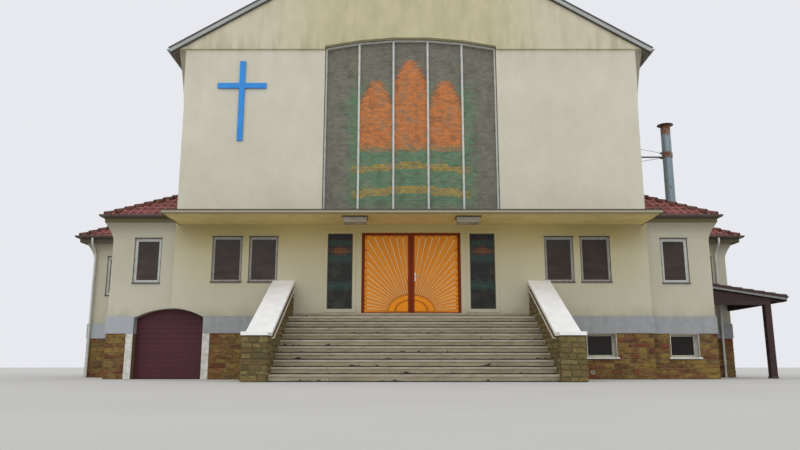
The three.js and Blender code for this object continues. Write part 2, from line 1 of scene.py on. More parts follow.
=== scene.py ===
# %% [markdown]
# # A modern church, dressed over its plain solids
#
# The solids give each wall, roof, window and door its true size and place. This lesson covers them with
# what a visitor would see: stones, tiles, frames, glass, boards, gutters, stains. Every new piece is
# worked out as whole arrays of points in metres, so the same few helpers make a stone wall, a gutter and
# a window frame.

# %% Load the solids
import math
import bmesh
import bpy
import numpy as np
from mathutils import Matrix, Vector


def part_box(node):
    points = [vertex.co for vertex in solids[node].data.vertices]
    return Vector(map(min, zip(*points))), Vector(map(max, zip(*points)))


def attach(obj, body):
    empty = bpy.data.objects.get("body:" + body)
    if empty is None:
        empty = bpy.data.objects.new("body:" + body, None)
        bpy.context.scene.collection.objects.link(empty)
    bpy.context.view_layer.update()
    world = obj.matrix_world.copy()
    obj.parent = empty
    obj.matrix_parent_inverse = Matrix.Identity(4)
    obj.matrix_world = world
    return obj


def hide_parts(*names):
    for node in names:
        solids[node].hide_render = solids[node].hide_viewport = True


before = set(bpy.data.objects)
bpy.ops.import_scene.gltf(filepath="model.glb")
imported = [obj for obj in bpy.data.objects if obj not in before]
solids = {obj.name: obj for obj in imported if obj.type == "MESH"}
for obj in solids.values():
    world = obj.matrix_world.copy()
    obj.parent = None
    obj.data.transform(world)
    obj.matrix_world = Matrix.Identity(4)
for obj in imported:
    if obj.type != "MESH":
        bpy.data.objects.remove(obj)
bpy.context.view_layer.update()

# %% [markdown]
# ## Camera, sky and floor
# The picture was taken from low in front, a little left of the middle line, with the camera tipped up. An
# overcast sky lights everything softly, so the world gives most of the light and one very wide sun gives
# the walls a gentle turn. The floor is plain and pale and isn't part of the church.

# %% Colours as light
def tone(red, green, blue):
    """A colour in screen steps from 0 to 255 as the linear light that a shader wants: above a small toe it is
    (step / 255 + 0.055) / 1.055 to the power 2.4."""
    steps = np.array([red, green, blue]) / 255
    linear = np.where(steps > 0.04045, ((steps + 0.055) / 1.055) ** 2.4, steps / 12.92)
    return (*(float(part) for part in linear), 1.0)


# %% Camera and light
scene = bpy.context.scene
scene.view_settings.view_transform = "Standard"
camera = bpy.data.objects.new("camera", bpy.data.cameras.new("camera"))
camera.location = (-0.28, -29.1, 0.32)
camera.rotation_euler = (math.radians(101.4), 0, 0)
camera.data.lens = 31.7
camera.data.shift_x = -0.00125
camera.data.clip_end = 600
scene.collection.objects.link(camera)
scene.camera = camera

sky = bpy.data.worlds.new("overcast")
sky.use_nodes = True
sky.node_tree.nodes["Background"].inputs["Color"].default_value = tone(232, 233, 238)
sky.node_tree.nodes["Background"].inputs["Strength"].default_value = 1.0
scene.world = sky

sun = bpy.data.objects.new("soft_sun", bpy.data.lights.new("soft_sun", "SUN"))
sun.data.energy = 0.7
sun.data.angle = math.radians(75)
sun.data.color = (1.0, 0.97, 0.92)
sun.rotation_euler = (math.radians(48), math.radians(-12), 0)
scene.collection.objects.link(sun)
print("camera at", tuple(camera.location), "lens", camera.data.lens)

# %% [markdown]
# ## Finishes
# A finish is a small graph of shader nodes. All of them read the object's own coordinates in metres, so a
# grain is as large as the real one wherever it falls. The helper class below only saves typing: it adds
# nodes, joins them and keeps the usual recipes (clouds, streaks, bands between two heights) in one place.

# %% Finish helper
class Finish:
    """One procedural finish round a Principled shader."""

    def __init__(self, name, rough=0.7, **sockets):
        self.material = bpy.data.materials.new(name)
        self.material.use_nodes = True
        self.tree = self.material.node_tree
        self.shader = self.tree.nodes["Principled BSDF"]
        self.shader.inputs["Roughness"].default_value = rough
        for socket, value in sockets.items():
            self.shader.inputs[socket.replace("_", " ")].default_value = value
        self.place = self.node("TexCoord").outputs["Object"]
        apart = self.node("SeparateXYZ", {0: self.place})
        self.x, self.y, self.z = apart.outputs

    def node(self, kind, feeds=None, **settings):
        """Adds a node; a feed is a number, a colour or another node's output."""
        made = self.tree.nodes.new("ShaderNode" + kind)
        for key, value in settings.items():
            setattr(made, key, value)
        for key, value in (feeds or {}).items():
            if isinstance(value, bpy.types.NodeSocket):
                self.tree.links.new(value, made.inputs[key])
            else:
                made.inputs[key].default_value = value
        return made

    def maths(self, operation, first, second=0.0, third=0.0):
        """One sum of numbers or other nodes' outputs."""
        return self.node("Math", {0: first, 1: second, 2: third}, operation=operation).outputs[0]

    def times(self, first, second):
        """The product of two numbers or outputs."""
        return self.maths("MULTIPLY", first, second)

    def clouds(self, size, detail=3.0, stretch=(1, 1, 1), rough=0.55, at=None):
        """Soft noise about 0.5, with clouds `size` metres across, longer where stretch is above one."""
        scale = tuple(1 / (size * part) for part in stretch)
        where = self.node("Mapping", {"Vector": at or self.place, "Scale": scale}).outputs[0]
        noise = self.node("TexNoise", {"Vector": where, "Scale": 1.0, "Detail": detail, "Roughness": rough})
        return noise.outputs[0]

    def between(self, value, low, high, start=0.0, end=1.0):
        """Runs from start to end as the value goes from low to high, and stays there outside."""
        feeds = {0: value, 1: low, 2: high, 3: start, 4: end}
        return self.node("MapRange", feeds, clamp=True).outputs[0]

    def ramp(self, value, *stops):
        """A colour scale: each stop is a value and the colour there."""
        made = self.node("ValToRGB", {0: value})
        points = made.color_ramp.elements
        while len(points) < len(stops):
            points.new(1.0)
        for point, (at, colour) in zip(points, stops):
            point.position = at
            point.color = tone(*colour)
        return made.outputs[0]

    def mixed(self, share, first, second):
        """The first colour with that share of the second; each is a triple of screen steps or an output."""
        first, second = (tone(*one) if isinstance(one, tuple) else one for one in (first, second))
        return self.node("Mix", {0: share, 6: first, 7: second}, data_type="RGBA").outputs[2]

    def blend(self, value, low, high, first, second, start=0.0, end=1.0):
        """Runs from the first colour to the second as the value goes from low to high. Start and end are the
        second colour's shares at the two ends."""
        return self.mixed(self.between(value, low, high, start, end), first, second)

    def done(self, colour, height=None, depth=0.002, rough=None, strength=1.0):
        """Feeds colour, and where given a height map in metres of depth and a roughness."""
        self.tree.links.new(colour, self.shader.inputs["Base Color"])
        if height is not None:
            feeds = {"Height": height, "Distance": depth, "Strength": strength}
            self.tree.links.new(self.node("Bump", feeds).outputs[0], self.shader.inputs["Normal"])
        if rough is not None:
            self.tree.links.new(rough, self.shader.inputs["Roughness"])
        return self.material


# %% Finish in two tones
def two_tone(name, first, second, size, detail=4, stretch=(1, 1, 1), grain=0.55, ends=(0.35, 0.7),
             depth=0.001, rough=0.6, **sockets):
    """A finish that runs from one tone to another with a soft noise, which also gives the fine relief."""
    made = Finish(name, rough=rough, **sockets)
    noise = made.clouds(size, detail, stretch, grain)
    return made.done(made.blend(noise, *ends, first, second), noise, depth)


# %% [markdown]
# ## Plan and helpers for shape
# The plan is measured from the front wall face: x to the right, y into the building, z up. The solids lie
# ten metres further forward, because their origin is under the middle of the slab, so every piece is
# shifted by that much when it is put into a mesh. A few sizes of the plan are used again and again: the
# hall's half width, the side room's front corner, the aisle's front corner behind it, and the lines of
# their eaves. Four shapes do nearly all the work: boxes, a profile carried along a path, a profile turned
# round an upright axis, and a wall's own flat coordinates stood up in the plan. Round pieces shade as one
# surface where two faces meet at fewer degrees than BEND or FINE_BEND.

# %% Putting arrays into meshes
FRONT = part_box("front_wall_right")[0].y
SIDES = (("left", -1), ("right", 1))
OUTWARD = (0, -1, 0)
HALL_X = 6.5
WING_X, WING_Y = 8.3, 0.25
AISLE_X, AISLE_Y = 10.27, 3.6
BACK = 20.0
WING_EAVE = (8.5, 0.05)
AISLE_EAVE = (10.62, 3.25)
BACK_EAVE = 20.35
EAVES = 4.46
OVERHANG = 0.12
BEND, FINE_BEND = 40, 35


def piece(name, shape, finish, body="building", replaces=(), edge=0.0, smooth=0.0, thick=0.0,
          data=None):
    """Makes a mesh from (corners, face blocks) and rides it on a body. edge rounds the
    corners sharper than BEND degrees, smooth is the angle in degrees below which faces shade as one, thick
    gives a sheet its skin."""
    corners, blocks = shape
    mesh = bpy.data.meshes.new(name)
    faces = [row for block in blocks for row in np.asarray(block).tolist()]
    mesh.from_pydata((np.asarray(corners) + [0, FRONT, 0]).tolist(), [], faces)
    mesh.materials.append(finish)
    for title, values in (data or {}).items():
        if values.shape[-1] == 2 and values.ndim == 2:
            spots = np.empty(len(mesh.loops), np.int32)
            mesh.loops.foreach_get("vertex_index", spots)
            mesh.uv_layers.new(name=title).data.foreach_set("uv", values[spots].astype(np.float32).ravel())
        elif values.ndim == 2:
            layer = mesh.attributes.new(title, "FLOAT_COLOR", "POINT")
            layer.data.foreach_set("color", values.astype(np.float32).ravel())
        else:
            layer = mesh.attributes.new(title, "FLOAT", "POINT")
            layer.data.foreach_set("value", values.astype(np.float32))
    if smooth:
        mesh.polygons.foreach_set("use_smooth", np.ones(len(mesh.polygons), bool))
        mesh.set_sharp_from_angle(angle=math.radians(smooth))
    made = bpy.data.objects.new(name, mesh)
    scene.collection.objects.link(made)
    if thick:
        skin = made.modifiers.new("skin", "SOLIDIFY")
        skin.thickness, skin.offset = thick, -1
    if edge:
        bevel = made.modifiers.new("edge", "BEVEL")
        bevel.width, bevel.segments, bevel.angle_limit = edge, 1, math.radians(BEND)
    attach(made, body)
    if replaces:
        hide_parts(*replaces)
    print(f"{name}: {len(faces)} faces")
    return made


def together(*shapes):
    """Stacks shapes; each shape's face numbers are raised by the number of corners before it."""
    starts = np.cumsum([0] + [len(corners) for corners, _ in shapes[:-1]])
    blocks = [np.asarray(block) + start for (_, each), start in zip(shapes, starts) for block in each]
    return np.vstack([corners for corners, _ in shapes]), blocks


def numbered(faces, step, count):
    """The faces of `count` equal parts; the numbers rise by `step` from one part to the next."""
    faces = np.asarray(faces)
    return (faces[None] + step * np.arange(count)[:, None, None]).reshape(-1, faces.shape[1])


def repeated(shape, offsets):
    """The same shape at several offsets: corner + offset, with face numbers raised copy by copy."""
    corners, blocks = shape
    offsets = np.asarray(offsets, float)
    spread = (np.asarray(corners)[None] + offsets[:, None]).reshape(-1, 3)
    return spread, [numbered(block, len(corners), len(offsets)) for block in blocks]


def mirrored(shape):
    """The shape seen in a mirror at x = 0: x changes its sign and every face is read backwards."""
    corners, blocks = shape
    return np.asarray(corners) * [-1, 1, 1], [np.asarray(block)[:, ::-1] for block in blocks]


def for_side(shape, sign):
    """The shape itself on the right, its mirror image on the left."""
    return shape if sign > 0 else mirrored(shape)


def stood(shape, at, along):
    """Stands a shape drawn in a wall's own coordinates on the plan: point = at + u x along + d x inwards
    + z up, where inwards is a quarter turn left of along."""
    corners, blocks = shape
    turn = np.array([[along[0], along[1], 0], [-along[1], along[0], 0], [0, 0, 1]], float)
    return np.asarray(corners) @ turn + [at[0], at[1], 0], blocks


# %% Shapes
def grid(rows, columns, round_rows=False, round_columns=False):
    """Faces of a grid of corners: each joins a corner with the next row and the next column."""
    down = np.arange(rows if round_rows else rows - 1)[:, None]
    right = np.arange(columns if round_columns else columns - 1)
    below, beside = (down + 1) % rows * columns, (right + 1) % columns
    above = down * columns
    return np.stack([above + right, below + right, below + beside, above + beside], -1).reshape(-1, 4)


PICK = np.array([[0, 0, 0], [1, 0, 0], [1, 1, 0], [0, 1, 0], [0, 0, 1], [1, 0, 1], [1, 1, 1], [0, 1, 1]])
BOX = np.array([[0, 3, 2, 1], [4, 5, 6, 7], [0, 1, 5, 4], [1, 2, 6, 5], [2, 3, 7, 6], [3, 0, 4, 7]])


def boxes(*rows):
    """Boxes as rows x0, x1, y0, y1, z0, z1: every corner takes the low or the high end of each pair."""
    rows = np.sort(np.array(rows, float).reshape(-1, 3, 2), axis=2)
    corners = rows[:, [0, 1, 2], PICK].reshape(-1, 3)
    return corners, [numbered(BOX, 8, len(rows))]


def oblong(u0, u1, v0, v1):
    """A rectangle as a profile: its four corners in turn."""
    return [(u0, v0), (u1, v0), (u1, v1), (u0, v1)]


def carried(path, profile, up=(0, 0, 1), ring=False):
    """A closed profile of (sideways, upwards) points carried along a path. Sideways is the run x up. At each
    corner the profile slides along its run until it meets the plane that halves the turn."""
    path, profile = np.array(path, float), np.array(profile, float)
    after = np.roll(profile, -1, 0)
    if np.sum(profile[:, 0] * after[:, 1] - after[:, 0] * profile[:, 1]) < 0:
        profile = profile[::-1]
    runs = np.roll(path, -1, 0) - path if ring else np.diff(path, axis=0)
    runs /= np.linalg.norm(runs, axis=1, keepdims=True)
    before = np.roll(runs, 1, 0) if ring else np.vstack([runs[:1], runs])
    middle = before + (runs if ring else np.vstack([runs, runs[-1:]]))
    middle /= np.linalg.norm(middle, axis=1, keepdims=True)
    side = np.cross(before, up)
    side /= np.linalg.norm(side, axis=1, keepdims=True)
    rise = np.cross(side, before)
    spread = side[:, None] * profile[None, :, :1] + rise[:, None] * profile[None, :, 1:]
    slide = np.einsum("ijk,ik->ij", spread, middle) / np.einsum("ik,ik->i", before, middle)[:, None]
    corners = path[:, None] + spread - slide[..., None] * before[:, None]
    count = len(profile)
    blocks = [grid(len(path), count, ring, True)]
    if not ring:
        blocks += [np.arange(count)[None], (np.arange(count)[::-1] + (len(path) - 1) * count)[None]]
    return corners.reshape(-1, 3), blocks


def turned(profile, at, steps=24):
    """A closed (radius, height) outline turned round an upright axis at (x, y): corner = at + radius x
    (cosine, sine)."""
    profile = np.array(profile, float)
    after = np.roll(profile, -1, 0)
    if np.sum(profile[:, 0] * after[:, 1] - after[:, 0] * profile[:, 1]) < 0:
        profile = profile[::-1]
    angle = np.linspace(0, 2 * np.pi, steps, endpoint=False)
    radius, height = profile[None, :, 0], profile[None, :, 1]
    x = at[0] + radius * np.cos(angle)[:, None]
    y = at[1] + radius * np.sin(angle)[:, None]
    corners = np.stack([x, y, height + 0 * angle[:, None]], -1)
    return corners.reshape(-1, 3), [grid(steps, len(profile), True, True)]


def rounded(path, radius, steps=5):
    """Each inner corner of a path becomes a curve: it starts and ends a radius away and bends towards the
    corner, as point = (1-t)^2 start + 2t(1-t) corner + t^2 end."""
    path = np.array(path, float)
    back, on = path[:-2] - path[1:-1], path[2:] - path[1:-1]
    back *= radius / np.linalg.norm(back, axis=1, keepdims=True)
    on *= radius / np.linalg.norm(on, axis=1, keepdims=True)
    t = np.linspace(0, 1, steps)[None, :, None]
    middle = path[1:-1, None]
    first, last = middle + back[:, None], middle + on[:, None]
    bends = (1 - t) ** 2 * first + 2 * t * (1 - t) * middle + t ** 2 * last
    return np.vstack([path[:1], bends.reshape(-1, 3), path[-1:]])


def circle(radius, sides=12):
    """A round profile: radius x (cosine, sine) at even angles."""
    angle = np.linspace(0, 2 * np.pi, sides, endpoint=False)
    return np.stack([radius * np.cos(angle), radius * np.sin(angle)], -1)


print("helpers ready, front wall face at y =", round(FRONT, 3))

# %% [markdown]
# ## Render
# The walls are sprayed render painted cream: a fine grain, broad clouds where the paint has weathered,
# and long faint streaks where rain runs off. The streaks come from noise stretched upright, let through
# only in height bands at the gable's ledge and under the eaves. The gable over the ledge is yellower and
# more stained than the wall. Heights in these bands are in metres over the ground.

# %% Cream render
def cream(name, canopy_light=False):
    """Painted render with painted light and shade: lighter above the canopy, where the walls stand in more
    light, and stained by streaks at the gable's ledge and under the hall's eaves; the walls beyond the hall
    have painted shade under the low eaves. The kind for the walls under the canopy turns golden towards the
    canopy, a painted warm light that the canopy throws back on the wall, and has a painted shadow towards the
    canopy's outer ends."""
    paint = Finish(name, rough=0.92)
    streaks = paint.clouds(0.26, 4, (1, 1, 11), 0.55)
    away = paint.maths("ABSOLUTE", paint.x)
    wide = paint.between(paint.clouds(1.7, 3), 0.35, 0.65)
    fine = paint.clouds(0.35, 5, (1, 1, 1.6), 0.65)
    # Painted light: the render is painted lighter above about 4.3 m, where the walls stand in more light than
    # under the canopy.
    low = paint.mixed(wide, (198, 194, 173), (205, 202, 183))
    high = paint.mixed(wide, (210, 206, 187), (217, 214, 197))
    wall = paint.blend(paint.z, 4.2, 4.4, low, high)
    wall = paint.blend(fine, 0.3, 0.75, wall, (188, 183, 162), 0, 0.3)
    if canopy_light:
        # Painted light: the wall under the canopy turns golden towards it, the warm light that the canopy
        # throws back.
        height = paint.between(paint.z, 2.0, 4.2)
        warm = paint.ramp(height, (0.1, (196, 192, 168)), (0.64, (200, 190, 150)), (0.91, (194, 178, 108)))
        wall = paint.blend(away, 5.7, 6.5, wall, warm, 0.8, 0.45)
        # Painted shadow of the canopy, darker towards its outer ends, high on the wall.
        dusky = paint.times(paint.between(away, 3.2, 4.6, 0, 0.34), paint.between(paint.z, 3.4, 4.1))
        wall = paint.mixed(dusky, wall, (120, 106, 62))
    # Painted shade: the walls beyond the hall are darkened under the low eaves, and slightly at every height.
    side = paint.between(away, HALL_X + 0.02, HALL_X + 0.04)
    eaves_shade = paint.maths("ADD", paint.between(paint.z, 3.95, 4.32, 0, 0.55),
                        paint.between(paint.z, 1.7, 3.6, 0.04, 0.15))
    wall = paint.mixed(paint.times(side, eaves_shade), wall, (88, 78, 50))
    middle = paint.blend(fine, 0.35, 0.7, (204, 196, 157), (190, 183, 147))
    outer = paint.blend(fine, 0.35, 0.7, (212, 204, 178), (200, 193, 168))
    gable_tone = paint.blend(away, 2.2, 4.0, middle, outer)
    gable_tone = paint.blend(streaks, 0.48, 0.74, gable_tone, (176, 170, 138), 0, 0.5)
    gable = paint.between(paint.z, 9.33, 9.39)
    body = paint.mixed(gable, wall, gable_tone)
    ledge = paint.times(paint.between(paint.z, 9.4, 9.95, 1, 0), gable)
    eaves = paint.times(paint.between(paint.z, 8.3, 9.3), paint.between(paint.z, 9.33, 9.38, 1, 0))
    damp = paint.maths("MAXIMUM", ledge, paint.times(eaves, 0.3))
    wet = paint.times(paint.between(streaks, 0.44, 0.68, 0, 0.45), damp)
    body = paint.mixed(wet, body, (158, 154, 124))
    foot = paint.times(paint.between(paint.z, 1.66, 2.0, 1, 0), paint.between(fine, 0.35, 0.7, 0.1, 0.5))
    body = paint.mixed(foot, body, (140, 138, 118))
    grain = paint.maths("ADD", paint.clouds(0.012, 3, rough=0.7), paint.times(fine, 0.6))
    return paint.done(body, grain, 0.0025, paint.between(fine, 0.3, 0.7, 0.85, 0.97))


CREAM = cream("cream_render")
CANOPY_LIGHT_RENDER = cream("render_with_canopy_light", canopy_light=True)

under = Finish("canopy_render", rough=0.9)
damp = under.clouds(0.6, 4)
under_tone = under.blend(damp, 0.35, 0.7, (228, 208, 142), (212, 191, 121))
under_tone = under.blend(under.y, FRONT - 1.5, FRONT - 1.1, under_tone, (168, 152, 104), 0.5, 0)
face = under.between(under.y, FRONT - 1.499, FRONT - 1.492, 1, 0)
edge_tone = under.mixed(face, under_tone, (172, 164, 134))
washed = under.blend(damp, 0.35, 0.7, (132, 131, 124), (104, 102, 95))
CANOPY = under.done(under.blend(under.z, 4.272, 4.278, edge_tone, washed),
                    under.clouds(0.012, 3, rough=0.7), 0.002)
print("finishes:", CREAM.name, CANOPY_LIGHT_RENDER.name, CANOPY.name)

# %% [markdown]
# ## Stone plinth
# The plinth is faced with squared stones in courses, ochre and red-brown, with a smooth grey band above.
# Each stone is a small grid of points: its rim sinks into the mortar and the rest stands up to two
# centimetres proud, so light catches the edges as on split stone. The plain solid behind becomes the
# mortar and the band.

# %% Mortar and band
mortar = Finish("mortar_and_band", rough=0.95)
dust = mortar.clouds(0.2, 4)
low_tone = mortar.blend(dust, 0.3, 0.7, (112, 92, 60), (134, 112, 76))
smooth_tone = mortar.blend(dust, 0.3, 0.7, (150, 153, 155), (163, 166, 168))
streak = mortar.between(mortar.clouds(0.1, 3, (1, 1, 6)), 0.5, 0.75, 0, 0.35)
smooth_tone = mortar.mixed(streak, smooth_tone, (126, 127, 124))
smooth_tone = mortar.blend(mortar.x, -5.7, -5.5, smooth_tone, (178, 183, 188), 0.7, 0)
MORTAR = mortar.done(mortar.blend(mortar.z, 1.205, 1.212, low_tone, smooth_tone),
                     mortar.clouds(0.015, 3), 0.003)

# %% Stones
facing = Finish("split_stone", rough=0.9)
shade = facing.node("Attribute", attribute_name="shade").outputs["Fac"]
spots = facing.clouds(0.045, 4, (2.6, 2.6, 1), 0.62)
sort = facing.ramp(shade, (0.0, (96, 66, 36)), (0.18, (146, 120, 56)), (0.34, (120, 98, 50)),
                   (0.5, (122, 62, 40)), (0.66, (138, 108, 56)), (0.82, (100, 50, 34)),
                   (1.0, (116, 104, 62)))
patches = facing.clouds(0.16, 4, (1.6, 1.6, 1))
mottled = facing.blend(spots, 0.46, 0.62, sort, (62, 43, 26), 0, 0.7)
mottled = facing.blend(patches, 0.52, 0.62, mottled, (138, 114, 56), 0, 0.7)
STONE = facing.done(mottled, spots, 0.012, facing.between(spots, 0.3, 0.7, 0.82, 0.98))


def stone_rows(start, end, low, high, rise, long, seed, holes=()):
    """Stones as rows u0, u1, z0, z1. Course heights vary by a quarter and are scaled to fill the wall;
    lengths are drawn evenly from the range `long`; stones that meet a hole (u0, u1, z0, z1) are cut back
    to it."""
    draw = np.random.default_rng(seed)
    heights = draw.uniform(0.75, 1.25, max(1, round((high - low) / rise)))
    levels = low + np.concatenate([[0], np.cumsum(heights)]) * (high - low) / heights.sum()
    rows = []
    for z0, z1 in zip(levels[:-1], levels[1:]):
        shift = draw.uniform(0, long[0])
        cuts = start - shift + np.cumsum(draw.uniform(*long, int((end - start) / long[0]) + 3))
        cuts = np.concatenate([[start], cuts[(cuts > start + 0.1) & (cuts < end - 0.1)], [end]])
        rows.append(np.stack([cuts[:-1], cuts[1:], 0 * cuts[1:] + z0, 0 * cuts[1:] + z1], -1))
    rows = np.vstack(rows)
    for u0, u1, z0, z1 in holes:
        middle = (rows[:, 2] + rows[:, 3]) / 2
        met = (middle > z0) & (middle < z1) & (rows[:, 1] > u0) & (rows[:, 0] < u1)
        left, right = rows[met].copy(), rows[met].copy()
        left[:, 1] = np.minimum(left[:, 1], u0)
        right[:, 0] = np.maximum(right[:, 0], u1)
        rows = np.vstack([rows[~met], left, right])
    return rows[rows[:, 1] - rows[:, 0] > 0.05]


def stone_blocks(rows, seed, proud=(0.006, 0.02), joint=0.008, wander=0.006):
    """A 5 x 5 grid of points for each stone: the rim lies a little inside the wall, where one face closes the
    stone, the points within it stand proud, and each is moved by a few millimetres so that no edge is quite
    straight. Returns the shape and a shade from 0 to 1 for each point, the same over a stone."""
    draw = np.random.default_rng(seed)
    count = len(rows)
    low, high = rows[:, [0, 2]] + joint / 2, rows[:, [1, 3]] - joint / 2
    size = high - low
    rim = np.minimum(0.016 / size, 0.3)
    steps = np.stack([0 * rim, rim, 0 * rim + 0.5, 1 - rim, 0 * rim + 1], -1)
    u = low[:, 0, None] + size[:, 0, None] * steps[:, 0]
    z = low[:, 1, None] + size[:, 1, None] * steps[:, 1]
    u, z = np.broadcast_arrays(u[:, :, None], z[:, None, :])
    depth = np.full(u.shape, 0.006)
    depth[:, 1:4, 1:4] = -draw.uniform(*proud, (count, 1, 1)) - draw.uniform(-0.003, 0.003, (count, 3, 3))
    moved = draw.uniform(-wander, wander, (2, *u.shape))
    corners = np.stack([u + moved[0], depth, z + moved[1]], -1).reshape(-1, 3)
    back = np.array([[0, 1, 2, 3, 4, 9, 14, 19, 24, 23, 22, 21, 20, 15, 10, 5]])
    blocks = [numbered(grid(5, 5), 25, count), numbered(back, 25, count)]
    return (corners, blocks), np.repeat(draw.uniform(0, 1, count), 25)


def faced(name, parts, finish):
    """One piece from several stone faces, each a shape with its shades."""
    shapes, shades = zip(*parts)
    return piece(name, together(*shapes), finish, data={"shade": np.concatenate(shades)})


# %% Plinth faces
PLINTH = 1.205
SILL, HEAD = 0.56, 1.21
WINDOW = (SILL - 0.03, HEAD)


def plinth_face(at, along, start, end, seed, rise=0.14, long=(0.17, 0.46), holes=()):
    """One face of the plinth: a zone up to the window sills and one beside the windows."""
    low = stone_rows(start, end, 0.0, SILL - 0.03, rise, long, seed, holes)
    high = stone_rows(start, end, SILL - 0.03, PLINTH, rise, long, seed + 1, holes)
    shape, shades = stone_blocks(np.vstack([low, high]), seed + 2)
    return stood(shape, at, along), shades


ROW_Y = np.array([9.8, 12.5, 15.2, 17.9])
row_holes = [(y - 0.41, y + 0.41, *WINDOW) for y in ROW_Y]
turn = 0.012
faces_of = {
    "front": [plinth_face((0, 0), (1, 0), 3.76, HALL_X + turn, 11, holes=[(4.66, 5.52, *WINDOW)]),
              plinth_face((0, 0), (1, 0), -5.405, -3.76, 21)],
    "right": [plinth_face((HALL_X, 0), (0, 1), -turn, WING_Y, 31),
              plinth_face((0, WING_Y), (1, 0), HALL_X + 0.01, WING_X + turn, 41,
                          holes=[(6.99, 7.83, *WINDOW)]),
              plinth_face((WING_X, 0), (0, 1), WING_Y - turn, AISLE_Y, 51),
              plinth_face((0, AISLE_Y), (1, 0), WING_X + 0.01, AISLE_X + turn, 61),
              plinth_face((AISLE_X, 0), (0, 1), AISLE_Y - turn, BACK + turn, 71, holes=row_holes)],
    "left": [plinth_face((0, WING_Y), (1, 0), -WING_X - turn, -7.755, 81),
             plinth_face((-WING_X, 0), (0, -1), -AISLE_Y, -WING_Y + turn, 91),
             plinth_face((0, AISLE_Y), (1, 0), -AISLE_X - turn, -WING_X - 0.01, 101),
             plinth_face((-AISLE_X, 0), (0, -1), -BACK - turn, -AISLE_Y + turn, 111,
                         holes=[(-b, -a, c, d) for a, b, c, d in row_holes])],
    "back": [plinth_face((0, BACK), (-1, 0), -AISLE_X - turn, AISLE_X + turn, 121)],
}
for side, parts in faces_of.items():
    faced(f"plinth_stones_{side}", parts, STONE)

# %% [markdown]
# ## Roof tiles
# The roofs carry interlocking clay tiles. A field of them is one sheet over the slope: across, each tile
# has a flat pan, a low rib and a round roll; up the slope, each course starts with a thick nose and thins
# out until the next one laps over it. At hips and valleys the sheet is trimmed by upright planes, as a
# tiler cuts tiles.

# %% Tile finish
clay = Finish("clay_tiles", rough=0.75)
spot = clay.node("UVMap", uv_map="courses").outputs[0]
cell = clay.node("VectorMath", {0: spot}, operation="FLOOR").outputs[0]
luck = clay.node("TexWhiteNoise", {"Vector": cell}, noise_dimensions="2D").outputs[0]
up_tile = clay.maths("FRACT", clay.node("SeparateXYZ", {0: spot}).outputs[1])
moss = clay.clouds(0.5, 5, rough=0.65)
specks = clay.clouds(0.03, 3, rough=0.7)
clay_and_painted_light = clay.ramp(luck, (0.0, (92, 36, 36)), (0.45, (116, 44, 42)), (0.8, (132, 56, 52)),
                  (1.0, (104, 52, 52)))
over = clay.maths("FRACT", clay.node("SeparateXYZ", {0: spot}).outputs[0])
crest = clay.maths("ABSOLUTE", clay.maths("SUBTRACT", over, 0.1))
hollow = clay.maths("ABSOLUTE", clay.maths("SUBTRACT", over, 0.4))
# Painted light: a highlight along each roll's crest and each course's nose, painted shade in each tile's
# hollow and under the nose of the course above.
clay_and_painted_light = clay.blend(crest, 0.0, 0.13, clay_and_painted_light, (208, 122, 112), 0.75, 0)
clay_and_painted_light = clay.blend(hollow, 0.0, 0.17, clay_and_painted_light, (42, 16, 20), 1.0, 0)
clay_and_painted_light = clay.blend(up_tile, 0.0, 0.13, clay_and_painted_light, (216, 150, 140), 0.8, 0)
clay_and_painted_light = clay.blend(up_tile, 0.55, 1.0, clay_and_painted_light, (70, 38, 38), 0, 0.55)
clay_and_painted_light = clay.blend(moss, 0.48, 0.72, clay_and_painted_light, (76, 54, 50), 0, 0.55)
clay_and_painted_light = clay.blend(specks, 0.55, 0.75, clay_and_painted_light, (142, 96, 88), 0, 0.4)
TILES = clay.done(clay_and_painted_light, specks, 0.003, clay.between(moss, 0.35, 0.7, 0.6, 0.9))

COVER, GAUGE, NOSE, HANG = 0.22, 0.34, 0.024, 0.045
ACROSS = np.array([[0.0, 0.028], [0.13, 0.036], [0.27, 0.014], [0.4, 0.0], [0.62, 0.004], [0.78, 0.0],
                   [0.96, 0.01]])


def trimmed(mesh_object, cuts, closed=False):
    """Cuts a mesh by planes given as (point, direction): what lies beyond a plane goes. Closed bodies get new
    faces over the cuts."""
    work = bmesh.new()
    work.from_mesh(mesh_object.data)
    for point, direction in cuts:
        everything = [*work.verts, *work.edges, *work.faces]
        bmesh.ops.bisect_plane(work, geom=everything, plane_co=point, plane_no=direction, clear_outer=True)
    if closed:
        bmesh.ops.holes_fill(work, edges=[edge for edge in work.edges if edge.is_boundary], sides=0)
        bmesh.ops.recalc_face_normals(work, faces=work.faces)
    work.to_mesh(mesh_object.data)
    work.free()


